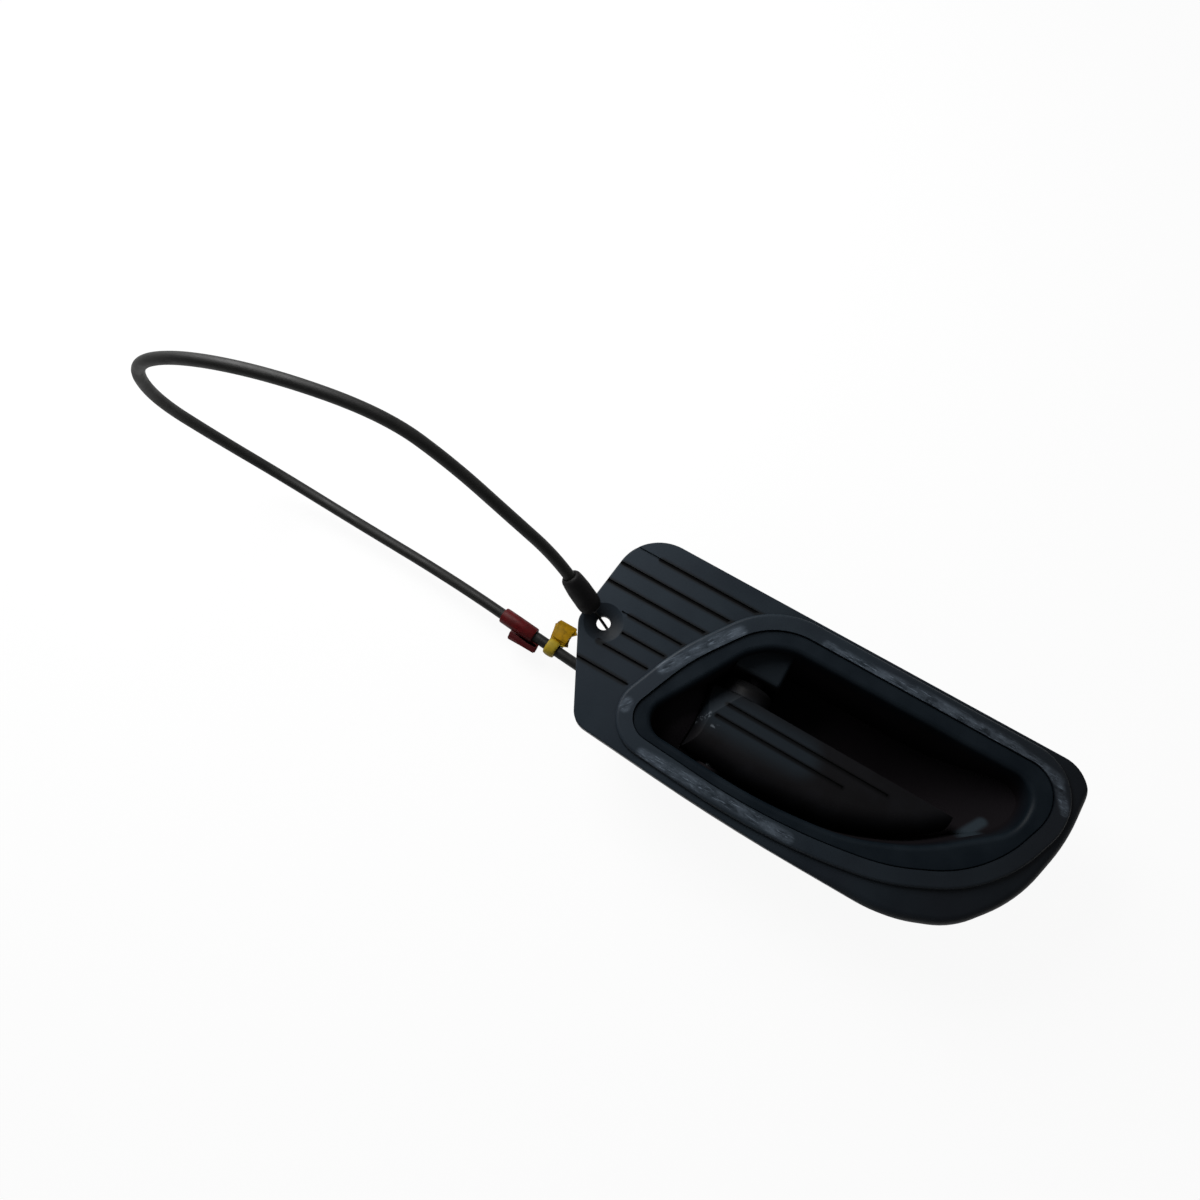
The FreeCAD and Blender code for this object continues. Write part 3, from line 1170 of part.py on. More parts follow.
def on_lock_axis(made, distance):
    """Stands a thing on the lock axis, at a distance from the middle of the screw hole."""
    made.Placement = Placement(Vector(), LOCK_TURN)
    return bind(
        made,
        Placement__Base__x=f"boss_x - ({distance}) * cos(lock_slope) * cos(lock_heading)",
        Placement__Base__y=f"boss_y - ({distance}) * cos(lock_slope) * sin(lock_heading)",
        Placement__Base__z=f"lock_z + ({distance}) * sin(lock_slope)",
    )


def lock_cylinder(name, radius, length, distance):
    made = doc.addObject("Part::Cylinder", name)
    bind(made, Radius=radius, Height=length)
    return on_lock_axis(made, distance)


boot_cone = doc.addObject("Part::Cone", "boot_cone")
bind(boot_cone, Radius1="boot_radius", Radius2="boot_neck", Height="boot_length")
on_lock_axis(boot_cone, "boot_tip")
cone_shape = ready(boot_cone)
boot_edges = []
for place, edge in enumerate(cone_shape.Edges, start=1):
    if edge.isClosed() and abs(edge.Length - 2 * math.pi * size("boot_radius")) < 0.01:
        boot_edges.append((place, size("boot_round"), size("boot_round")))
    elif edge.isClosed():
        boot_edges.append((place, 0.5, 0.5))
boot_form = fillet("boot_form", boot_cone, boot_edges)
ready(boot_form)
collar_bar = lock_cylinder("collar_bar", "boot_radius + boot_collar", "boot_collar_length", "boot_tip + boot_round + 0.4")
collar_edges = [
    (place, 0.4, 0.4)
    for place, edge in enumerate(ready(collar_bar).Edges, start=1) if edge.isClosed()
]
collar = fillet("collar", collar_bar, collar_edges)
boot_whole = fuse("boot_whole", boot_form, collar)
ferrule_seat = "boot_tip + boot_length - boot_socket - lock_ferrule_length"
boot_room = lock_cylinder("boot_room", "lock_ferrule_radius + socket_play", "lock_ferrule_length", ferrule_seat)
boot_mouth = lock_cylinder(
    "boot_mouth", "conduit_radius + socket_play", "boot_socket + 3", "boot_tip + boot_length - boot_socket - 0.5",
)
boot_hole = lock_cylinder("boot_hole", "wire_radius + 0.5", "10", "boot_tip - 3")
boot_cuts = fuse("boot_cuts", boot_room, boot_mouth, boot_hole)
end_boot = cut("end_boot", boot_whole, boot_cuts)
lock_ferrule_bar = lock_cylinder("lock_ferrule_bar", "lock_ferrule_radius", "lock_ferrule_length", ferrule_seat)
lock_ferrule_bore = lock_cylinder("lock_ferrule_bore", "wire_radius + bore_play", "lock_bore + 1", ferrule_seat + " - 1")
lock_end_ferrule = cut("lock_end_ferrule", lock_ferrule_bar, lock_ferrule_bore)
lock_end_wire = lock_cylinder(
    "lock_end_wire", "wire_radius", f"lock_wire_out + 2 + {ferrule_seat} + lock_wire_in - 2", "-lock_wire_out - 2",
)
nipple_drum = lock_cylinder("nipple_drum", "lock_nipple_radius", "lock_nipple_length", "-lock_wire_out - lock_nipple_length")
nipple_socket = lock_cylinder("nipple_socket", "wire_radius + 0.05", "4", "-lock_wire_out - 2")
lock_end_nipple = cut("lock_end_nipple", nipple_drum, nipple_socket)


# Clips on the conduit's lower strand
def on_run(index, x):
    """Point on a run of the route at a place along X, and the run's direction."""
    first, second = Vector(*ROUTE[index]), Vector(*ROUTE[index + 1])
    along = second - first
    return first + along * ((x - first.x) / along.x), along.normalize()


def tube(name, radius, bore, length, place, direction, rounding):
    """A sleeve round the conduit, centred on a place."""
    turn = Rotation(Vector(0, 0, 1), direction)
    outer = doc.addObject("Part::Cylinder", name + "_body")
    bind(outer, Radius=radius, Height=length)
    outer.Placement = Placement(place - direction * (number(length) / 2), turn)
    inner = doc.addObject("Part::Cylinder", name + "_bore")
    bind(inner, Radius=bore, Height=length + " + 4")
    inner.Placement = Placement(place - direction * (number(length) / 2 + 2), turn)
    ends = [
        (index, rounding, rounding)
        for index, edge in enumerate(ready(outer).Edges, start=1) if edge.isClosed()
    ]
    soft = fillet(name + "_soft", outer, ends)
    ready(soft)
    return soft, inner


red_place, red_way = on_run(2, size("red_middle"))
red_soft, red_bore = tube(
    "red_sleeve", "conduit_radius + red_play + red_wall", "conduit_radius + red_play", "red_length",
    red_place, red_way, 0.5,
)
fin = doc.addObject("Part::Box", "fin")
bind(fin, Length="fin_length", Width="fin_width", Height="fin_thick")
fin_turn = Rotation(Vector(1, 0, 0), Vector(-red_way.x, -red_way.y, -red_way.z))
across_way = fin_turn.multVec(Vector(0, 1, 0))
fin_corner = red_place + red_way * (size("fin_length") / 2 - size("fin_shift"))
fin_corner = fin_corner - across_way * (size("conduit_radius") + size("fin_width") + 0.6)
fin_corner = fin_corner - Vector(0, 0, size("fin_thick") / 2)
fin.Placement = Placement(fin_corner, fin_turn)
red_whole = fuse("red_whole", red_soft, fin)
red_cable_clip = cut("red_cable_clip", red_whole, red_bore)

yellow_place, yellow_way = on_run(1, size("yellow_middle"))
yellow_soft, yellow_bore = tube(
    "yellow_band", "conduit_radius + red_play + yellow_wall", "conduit_radius + red_play", "yellow_width",
    yellow_place, yellow_way, 0.7,
)
yx, yy = f"({yellow_place.x:.3f})", f"({yellow_place.y:.3f})"
head_line = outline("head_line", [
    (f"{yx} - head_neck / 2", f"{yy} + 3"),
    (f"{yx} + head_neck / 2", f"{yy} + 3"),
    (f"{yx} + head_neck / 2", f"{yy} + head_length - 4.6", "1.0"),
    (f"{yx} + head_width * 0.66", f"{yy} + head_length - 2.4", "0.9"),
    (f"{yx} + head_width * 0.60", f"{yy} + head_length - 0.2", "0.9"),
    (f"{yx} + 0.3", f"{yy} + head_length + 1.6", "0.7"),
    (f"{yx} - head_width * 0.34", f"{yy} + head_length - 3.4", "0.6"),
    (f"{yx} - head_neck / 2", f"{yy} + head_length - 6.4"),
], z=f"({yellow_place.z:.3f}) - head_thick / 2")
yellow_head = extrude("yellow_head", head_line, "head_thick")
yellow_whole = fuse("yellow_whole", yellow_soft, yellow_head)
yellow_cable_clip = cut("yellow_cable_clip", yellow_whole, yellow_bore)

# Screws between cup and plate
screws = []
for i, (x, y) in enumerate(SCREWS, start=1):
    shank = cylinder(f"screw_shank_{i}", "screw_radius", "flange_thick + screw_bite", x, y, flange_under)
    head = cylinder(
        f"screw_head_{i}", "screw_head_radius", "screw_head_height", x, y, flange_under + " - screw_head_height",
    )
    recess = doc.addObject("Part::Prism", f"screw_recess_{i}")
    recess.Polygon = 6
    bind(recess, Circumradius="recess_radius", Height="1.2 + 1")
    move(recess, x, y, flange_under + " - screw_head_height - 1")
    solid = fuse(f"screw_solid_{i}", shank, head)
    screws.append(cut(f"housing_screw_{i}", solid, recess))

# Sheet clips on the plate's towers
trims = []
for i, (name, way) in enumerate(TOWERS, start=1):
    half, sheet_t = "tower_thick / 2", "clip_sheet"
    centre = f"{name}_y" if way == "along" else f"{name}_x"
    foot = f"{plate_under} - tower_height"
    profile = [
        (f"-{half} - {sheet_t}", f"-{sheet_t}"),
        (f"{half} + {sheet_t}", f"-{sheet_t}"),
        (f"{half} + {sheet_t} + clip_bulge", "3.6"),
        (f"{half} + {sheet_t}", "8.2"),
        (half, "8.2"),
        (f"{half} + clip_bulge", "3.6"),
        (half, "0"),
        (f"-{half}", "0"),
        (f"-{half} - clip_bulge", "3.6"),
        (f"-{half}", "8.2"),
        (f"-{half} - {sheet_t}", "8.2"),
        (f"-{half} - {sheet_t} - clip_bulge", "3.6"),
    ]
    line = outline(
        f"trim_line_{i}", profile, ON_YZ if way == "along" else ON_XZ,
        f"{name}_x" if way == "across" else f"{name}_x - clip_width / 2",
        f"{name}_y" if way == "along" else f"{name}_y - clip_width / 2",
        foot,
    )
    direction = Vector(1, 0, 0) if way == "along" else Vector(0, 1, 0)
    trims.append(extrude(f"trim_clip_{i}", line, "clip_width", "0", direction))

doc.recompute()
NODES = [
    escutcheon_plate, cup_housing, pull_lever, axle_pin, axle_retaining_clip, return_spring, rest_buffer,
    handle_end_ferrule, handle_end_wire, handle_end_nipple, conduit, red_cable_clip, yellow_cable_clip,
    end_boot, lock_end_ferrule, lock_end_wire, lock_end_nipple, *screws, *trims,
]
for thing in doc.Objects:
    if "Invalid" in thing.State or "Error" in thing.State:
        raise ValueError(f"{thing.Name} was not built: {thing.State}")
    if hasattr(thing, "Shape") and (thing.Shape.isNull() or not thing.Shape.isValid()):
        raise ValueError(f"{thing.Name} has a bad shape")
os.makedirs("parts", exist_ok=True)
for node in NODES:
    if len(node.Shape.Solids) != 1:
        raise ValueError(f"{node.Name} has {len(node.Shape.Solids)} solids")
    node.Shape.exportStep(f"parts/{node.Name}.step")
    b = node.Shape.BoundBox
    print(f"{node.Name:22s} {b.XMin:8.2f} {b.XMax:8.2f} {b.YMin:8.2f} {b.YMax:8.2f} {b.ZMin:8.2f} {b.ZMax:8.2f}")
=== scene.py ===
import math

import bmesh
import bpy
from mathutils import Matrix, Vector


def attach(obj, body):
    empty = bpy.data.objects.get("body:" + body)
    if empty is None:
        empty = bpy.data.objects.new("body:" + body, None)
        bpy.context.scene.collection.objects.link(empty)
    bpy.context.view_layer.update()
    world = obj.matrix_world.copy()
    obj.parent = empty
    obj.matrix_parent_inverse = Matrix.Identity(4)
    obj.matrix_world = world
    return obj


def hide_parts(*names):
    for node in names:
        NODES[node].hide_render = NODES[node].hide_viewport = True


# Interior door handle with its release cable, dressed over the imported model.
# Everything is in metres, in the model's own frame: +Z points out of the door.
# Places and sizes that are multiplied by MM are written in millimetres.

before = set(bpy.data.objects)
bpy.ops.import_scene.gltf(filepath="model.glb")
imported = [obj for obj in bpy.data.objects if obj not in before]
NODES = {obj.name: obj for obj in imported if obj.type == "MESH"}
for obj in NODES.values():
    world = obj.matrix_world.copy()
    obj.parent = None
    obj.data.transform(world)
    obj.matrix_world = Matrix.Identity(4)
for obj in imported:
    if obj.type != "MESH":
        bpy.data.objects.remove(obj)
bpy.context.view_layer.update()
MM = 0.001

# The photograph's view: nearly straight down on the handle, which lies across the picture
CAMERA_PLACE = (-66.49, -70.92, 448.2)
CAMERA_AHEAD = (-0.11216, 0.19500, -0.97437)
CAMERA_RIGHT = (0.86683, 0.49861, 0.0)
CAMERA_LENS = 27.0
SENSOR_WIDTH = 36.0


def place_camera():
    """The camera at its place, looking ahead, with its right side level."""
    ahead = Vector(CAMERA_AHEAD).normalized()
    right = Vector(CAMERA_RIGHT).normalized()
    up = right.cross(ahead)
    turn = Matrix((right, up, -ahead)).transposed().to_4x4()
    bpy.ops.object.camera_add()
    camera = bpy.context.object
    camera.name = "photo_camera"
    camera.matrix_world = Matrix.Translation(Vector(CAMERA_PLACE) * MM) @ turn
    camera.data.lens = CAMERA_LENS
    camera.data.sensor_width = SENSOR_WIDTH
    camera.data.clip_start = 0.01
    bpy.context.scene.camera = camera


place_camera()

# The conduit: one smooth line through the route that the imported tube follows,
# with three points set after the photograph where the loop comes down
CONDUIT_ROUTE = [
    (-68.0, -18.5, 10.27),
    (-98.0, -18.3, 10.27),
    (-132.0, -15.6, 10.3),
    (-186.0, -11.0, 9.0),
    (-246.0, -9.5, 8.6),
    (-291.0, -8.5, 13.0),
    (-318.0, -11.5, 38.0),
    (-332.0, -15.0, 72.0),
    (-326.0, -12.0, 105.0),
    (-296.0, -4.5, 128.0),
    (-255.0, 6.5, 133.0),
    (-214.0, 17.0, 121.0),
    (-187.0, 17.3, 103.5),
    (-158.5, 14.2, 84.6),
    (-136.0, 11.66, 70.78),
    (-125.17, 7.93, 60.47),
]
CONDUIT_DIAMETER = 5.5


def lay_conduit():
    """The cable sheath as a round curve from the housing's ferrule to the boot.

    The radius is on the points and the bevel is 1, so that the curve's box is as large as the sheath."""
    line = bpy.data.curves.new("conduit_sheath", "CURVE")
    line.dimensions = "3D"
    spline = line.splines.new("NURBS")
    spline.points.add(len(CONDUIT_ROUTE) - 1)
    for point, place in zip(spline.points, CONDUIT_ROUTE):
        point.co = (*(Vector(place) * MM), 1.0)
        point.radius = CONDUIT_DIAMETER / 2 * MM
    spline.order_u = 3
    spline.use_endpoint_u = True
    spline.resolution_u = 24
    line.bevel_depth = 1.0
    line.bevel_resolution = 8
    line.use_fill_caps = True
    sheath = bpy.data.objects.new("conduit_sheath", line)
    bpy.context.collection.objects.link(sheath)
    return sheath


# The sides of a round piece, and the angle below which its edges are shaded smooth
ROUND_SIDES = 40
SMOOTH_BELOW = math.radians(40)


def turned(name, rings, start, along):
    """A round hollow piece: a circle extruded from ring to ring and bridged to the first one.

    Each ring is a radius and a height; the piece is then laid from a point along a direction."""
    first_radius, first_height = rings[0]
    bpy.ops.object.select_all(action="DESELECT")
    bpy.ops.mesh.primitive_circle_add(
        vertices=ROUND_SIDES, radius=first_radius * MM, location=(0, 0, first_height * MM),
    )
    piece = bpy.context.object
    piece.name = name
    bpy.ops.object.transform_apply(location=True, rotation=True, scale=True)
    bpy.ops.object.mode_set(mode="EDIT")
    bpy.ops.mesh.select_all(action="SELECT")
    for (radius, height), (next_radius, next_height) in zip(rings, rings[1:]):
        rise = (0, 0, (next_height - height) * MM)
        bpy.ops.mesh.extrude_edges_move(TRANSFORM_OT_translate={"value": rise})
        grow = next_radius / radius
        bpy.ops.transform.resize(value=(grow, grow, 1), center_override=(0, 0, next_height * MM))
    bpy.ops.mesh.select_all(action="DESELECT")
    bpy.ops.mesh.select_non_manifold()
    bpy.ops.mesh.bridge_edge_loops()
    bpy.ops.mesh.select_all(action="SELECT")
    bpy.ops.mesh.normals_make_consistent(inside=False)
    bpy.ops.object.mode_set(mode="OBJECT")
    piece.rotation_mode = "QUATERNION"
    piece.rotation_quaternion = Vector(along).to_track_quat("Z", "Y")
    piece.location = Vector(start) * MM
    bpy.ops.object.transform_apply(location=True, rotation=True, scale=True)
    bpy.ops.object.shade_smooth_by_angle(angle=SMOOTH_BELOW)
    return piece


def moulded_flat(name, rows, height, thickness, rounding):
    """A flat moulded piece: an edge extruded from row to row, thickened, with rounded edges.

    Each row is its middle's place in x and in y, and its width along x, all at one height."""
    bpy.ops.object.select_all(action="DESELECT")
    bpy.ops.mesh.primitive_plane_add(size=MM, location=(0, 0, 0))
    piece = bpy.context.object
    piece.name = name
    bpy.ops.object.mode_set(mode="EDIT")
    # a square of 1 mm is drawn out: its lower edge to the first row, its upper one to the second
    for side, (x, y, width) in ((-1, rows[0]), (1, rows[1])):
        mesh = bmesh.from_edit_mesh(piece.data)
        for vertex in mesh.verts:
            vertex.select = vertex.co.y * side > 0 and abs(vertex.co.y) < 0.6 * MM
        mesh.select_flush(True)
        bmesh.update_edit_mesh(piece.data)
        bpy.ops.transform.resize(value=(width, 1, 1), center_override=(0, 0, 0))
        bpy.ops.transform.translate(value=(x * MM, (y - side * 0.5) * MM, height * MM))
    for (old_x, old_y, old_width), (x, y, width) in zip(rows[1:], rows[2:]):
        step = ((x - old_x) * MM, (y - old_y) * MM, 0)
        bpy.ops.mesh.extrude_edges_move(TRANSFORM_OT_translate={"value": step})
        middle = (x * MM, y * MM, height * MM)
        bpy.ops.transform.resize(value=(width / old_width, 1, 1), center_override=middle)
    bpy.ops.mesh.select_all(action="SELECT")
    bpy.ops.mesh.normals_make_consistent(inside=False)
    bpy.ops.object.mode_set(mode="OBJECT")
    thick = piece.modifiers.new("thickness", "SOLIDIFY")
    thick.thickness = thickness * MM
    thick.offset = 0.0
    soft = piece.modifiers.new("rounding", "BEVEL")
    soft.width = rounding * MM
    soft.segments = 3
    soft.limit_method = "ANGLE"
    soft.angle_limit = math.radians(50)
    bpy.ops.object.modifier_apply(modifier="thickness")
    bpy.ops.object.modifier_apply(modifier="rounding")
    bpy.ops.object.shade_smooth_by_angle(angle=SMOOTH_BELOW)
    return piece


def joined(name, *pieces):
    """Pieces of one moulding made one object."""
    bpy.ops.object.select_all(action="DESELECT")
    for piece in pieces:
        piece.select_set(True)
    bpy.context.view_layer.objects.active = pieces[0]
    bpy.ops.object.join()
    pieces[0].name = name
    return pieces[0]


# The boot: a tapering barrel of rubber from its mouth to its neck, and back down its bore,
# on the axis of the cable's lock end
BOOT_TIP = (-113.02, 3.75, 48.9)
LOCK_WAY = (-0.702657, 0.241944, 0.669131)
BOOT_RINGS = [
    (0.95, 0.3), (2.6, 0.02), (3.8, 0.5), (4.6, 1.3), (5.1, 2.4), (5.4, 3.6), (5.5, 5.0), (5.4, 13.0),
    (5.0, 17.4), (4.75, 19.3), (4.5, 20.2), (4.0, 20.9), (3.3, 21.1), (3.0, 20.9),
    (2.95, 17.7), (3.35, 17.4), (3.35, 1.8), (0.95, 1.6),
]
boot = turned("rubber_end_boot", BOOT_RINGS, BOOT_TIP, LOCK_WAY)

# The red clip: a sleeve round the conduit with a flat fin along its lower side
SLEEVE_END = (-154.8, -13.66, 9.75)
SLEEVE_WAY = (0.9961, -0.0849, 0.0240)
SLEEVE_RINGS = [
    (2.98, 0.4), (3.4, 0.0), (3.8, 0.15), (4.05, 0.6), (4.1, 9.0), (4.05, 18.6), (3.8, 19.05),
    (3.4, 19.2), (2.98, 18.8),
]
FIN_ROWS = [
    (-139.6, -23.0, 14.4), (-139.45, -22.3, 15.6), (-139.6, -20.2, 15.9), (-139.6, -18.0, 15.6),
]
red_clip = joined(
    "red_sleeve_clip",
    turned("red_sleeve", SLEEVE_RINGS, SLEEVE_END, SLEEVE_WAY),
    moulded_flat("red_fin", FIN_ROWS, height=9.9, thickness=1.7, rounding=0.55),
)

# The yellow clip: a band round the conduit that flares into a winged head
BAND_END = (-128.3, -15.9, 10.3)
BAND_WAY = (0.9967, -0.0792, 0.0)
BAND_RINGS = [
    (2.98, 0.5), (3.3, 0.05), (3.8, 0.1), (4.2, 0.5), (4.45, 1.6), (4.5, 2.9), (4.4, 4.2), (4.15, 5.3),
    (3.8, 5.7), (3.3, 5.75), (2.98, 5.3),
]
HEAD_ROWS = [
    (-124.6, -13.4, 7.6), (-124.0, -11.9, 7.2), (-123.8, -9.6, 7.9), (-123.9, -7.0, 8.4),
    (-123.9, -4.6, 9.2), (-123.9, -3.2, 9.7), (-123.7, -2.0, 8.9),
]
yellow_clip = joined(
    "yellow_winged_clip",
    turned("yellow_band", BAND_RINGS, BAND_END, BAND_WAY),
    moulded_flat("yellow_head", HEAD_ROWS, height=10.3, thickness=4.2, rounding=0.9),
)

sheath = lay_conduit()
for piece, node, slot in (
    (boot, "end_boot", "boot_rubber"),
    (red_clip, "red_cable_clip", "red_plastic"),
    (yellow_clip, "yellow_cable_clip", "yellow_plastic"),
):
    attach(piece, "housing")
    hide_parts(node)
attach(sheath, "housing")
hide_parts("conduit")


def linear(code):
    """A hex colour as it is seen on a screen, turned to the linear values that a shader takes."""
    parts = [int(code[i:i + 2], 16) / 255 for i in (0, 2, 4)]
    return tuple(c / 12.92 if c <= 0.04045 else ((c + 0.055) / 1.055) ** 2.4 for c in parts) + (1.0,)


def add(tree, kind, sockets=None, output=None, **settings):
    """One node with its settings and its sockets' values or links; gives the output to link on."""
    made = tree.nodes.new(kind)
    for name, value in settings.items():
        setattr(made, name, value)
    for name, value in (sockets or {}).items():
        in_use = [socket for socket in made.inputs if socket.enabled]
        socket = in_use[name] if isinstance(name, int) else next(s for s in in_use if s.name == name)
        if isinstance(value, bpy.types.NodeSocket):
            tree.links.new(value, socket)
        else:
            socket.default_value = value
    outputs = [socket for socket in made.outputs if socket.enabled]
    return outputs[0] if output is None else next(s for s in outputs if s.name == output)


def new_material(name, **values):
    """A material named for what it is; gives its nodes, its shader and the place on the piece."""
    material = bpy.data.materials.new(name)
    material.use_nodes = True
    tree = material.node_tree
    shader = tree.nodes["Principled BSDF"]
    for socket, value in values.items():
        shader.inputs[socket.replace("_", " ")].default_value = value
    place = add(tree, "ShaderNodeTexCoord", output="Object")
    return material, tree, shader, place


def mottled(tree, shader, place, dark, light, blotch, roughness, grain, depth):
    """The base of every moulded surface: two close tones in blotches, uneven gloss and a fine grain.

    Blotch, grain and depth are sizes; gives the tone and the gloss for more wear on top."""
    blotches = add(tree, "ShaderNodeTexNoise", {
        "Vector": place, "Scale": 1 / (blotch * MM), "Detail": 3.0, "Roughness": 0.55,
    })
    patches = add(tree, "ShaderNodeMapRange", {"Value": blotches, "From Min": 0.35, "From Max": 0.65})
    tone = add(tree, "ShaderNodeMix", {
        "Factor": patches, "A": linear(dark), "B": linear(light),
    }, data_type="RGBA")
    gloss = add(tree, "ShaderNodeMapRange", {
        "Value": patches, "To Min": roughness[0], "To Max": roughness[1],
    })
    fine = add(tree, "ShaderNodeTexNoise", {"Vector": place, "Scale": 1 / (grain * MM), "Detail": 3.0})
    relief = add(tree, "ShaderNodeBump", {"Height": fine, "Distance": depth * MM, "Strength": 0.7})
    tree.links.new(tone, shader.inputs["Base Color"])
    tree.links.new(gloss, shader.inputs["Roughness"])
    tree.links.new(relief, shader.inputs["Normal"])
    return tone, gloss


def along_line(tree, flat, first, second, reach):
    """Is 1 on a line between two spots and fades out at its reach."""
    start = Vector((*first, 0)) * MM
    run = Vector((*second, 0)) * MM - start
    from_start = add(tree, "ShaderNodeVectorMath", {0: flat, 1: start}, operation="SUBTRACT")
    share = add(tree, "ShaderNodeVectorMath", {
        0: from_start, 1: run / run.length_squared,
    }, operation="DOT_PRODUCT")
    held = add(tree, "ShaderNodeClamp", {"Value": share})
    foot = add(tree, "ShaderNodeVectorMath", {0: run, "Scale": held}, operation="SCALE")
    gap = add(tree, "ShaderNodeVectorMath", {0: from_start, 1: foot}, operation="DISTANCE")
    return add(tree, "ShaderNodeMapRange", {
        "Value": gap, "From Min": reach * MM, "From Max": reach * 0.3 * MM,
    }, interpolation_type="SMOOTHSTEP")


def along_lines(tree, flat, lines):
    """Is 1 near any of several lines, each with its reach."""
    near = 0.0
    for first, second, reach in lines:
        line = along_line(tree, flat, first, second, reach)
        near = add(tree, "ShaderNodeMath", {0: near, 1: line}, operation="MAXIMUM")
    return near


def between(tree, height, low, high):
    """Is 1 for heights from low to high, with soft ends of a tenth of a millimetre."""
    above = add(tree, "ShaderNodeMapRange", {
        "Value": height, "From Min": (low - 0.1) * MM, "From Max": low * MM,
    })
    below = add(tree, "ShaderNodeMapRange", {
        "Value": height, "From Min": (high + 0.1) * MM, "From Max": high * MM,
    })
    return add(tree, "ShaderNodeMath", {0: above, 1: below}, operation="MULTIPLY")


# Heights on the handle, each from and to
PLATE_FACE = (44.6, 46.1)
GROOVE_FLOOR = (44.9, 45.3)
DISH_HEIGHTS = (40, 45.9)
BAND_HEIGHTS = (47.3, 60)
FACET_TOP = (36.6, 38.4)
BOWL_HEIGHTS = (20, 35)

# Worn places, and places of painted shade and painted highlight, on the plate and the cup, each a line
# between two spots with its reach.
# Hands, keys and rings have scuffed the raised band along its long sides and across its cable end.
SCUFFS_ALONG = [
    ((-13, 41.6), (31, 42.8), 3.4),
    ((31, 42.8), (75, 42.6), 4.0),
    ((75, 42.6), (101, 38.8), 3.8),
    ((101, 38.8), (109, 28), 3.0),
    ((-62, -41.9), (-32, -41.2), 3.8),
    ((-32, -41.2), (10, -41.6), 3.4),
]
SCUFFS_ACROSS = [
    ((-72.5, -4), (-61.5, 13.4), 3.8),
    ((-61.5, 13.4), (-50, 28.4), 4.0),
    ((-78.8, -25), (-78.8, -27.5), 3.4),
]
GROOVE_SHADOWS = [
    ((-97, 40.1), (-30.5, 40.1), 2.3),
    ((-112, 30.1), (-51, 30.1), 2.3),
    ((-117, 19.9), (-60, 19.9), 2.3),
    ((-97, 9.9), (-68, 9.9), 2.1),
    ((-96, 1.3), (-74.5, 1.3), 2.1),
    ((-104, -7.5), (-79.5, -7.5), 2.1),
    ((-117, -18), (-84.5, -18), 2.3),
]
SCREW_DISH = ((-106.2, 1.4), (-105.2, 0.2), 12.5)
FACET_BLOCK = ((-41, 24), (-26, 23), 13)
BOWL_END = ((80, -4), (87, 10), 3.0)

# The same for the lever: places of painted light, painted shade and painted glints
LEVER_RIDGE = ((-40, -6), (0, -6), 14)
LEVER_HUB = ((-38, 12), (-27, 12), 7)
LEVER_GROOVES = [
    ((-39, -2), (43, -2), 1.9),
    ((-41, -9), (23.5, -9), 1.9),
]
LEVER_GLINTS = [
    ((-49.5, -17), (-43.5, -9.6), 1.6),
    ((-40.5, -14.2), (-36, -12.8), 1.2),
]


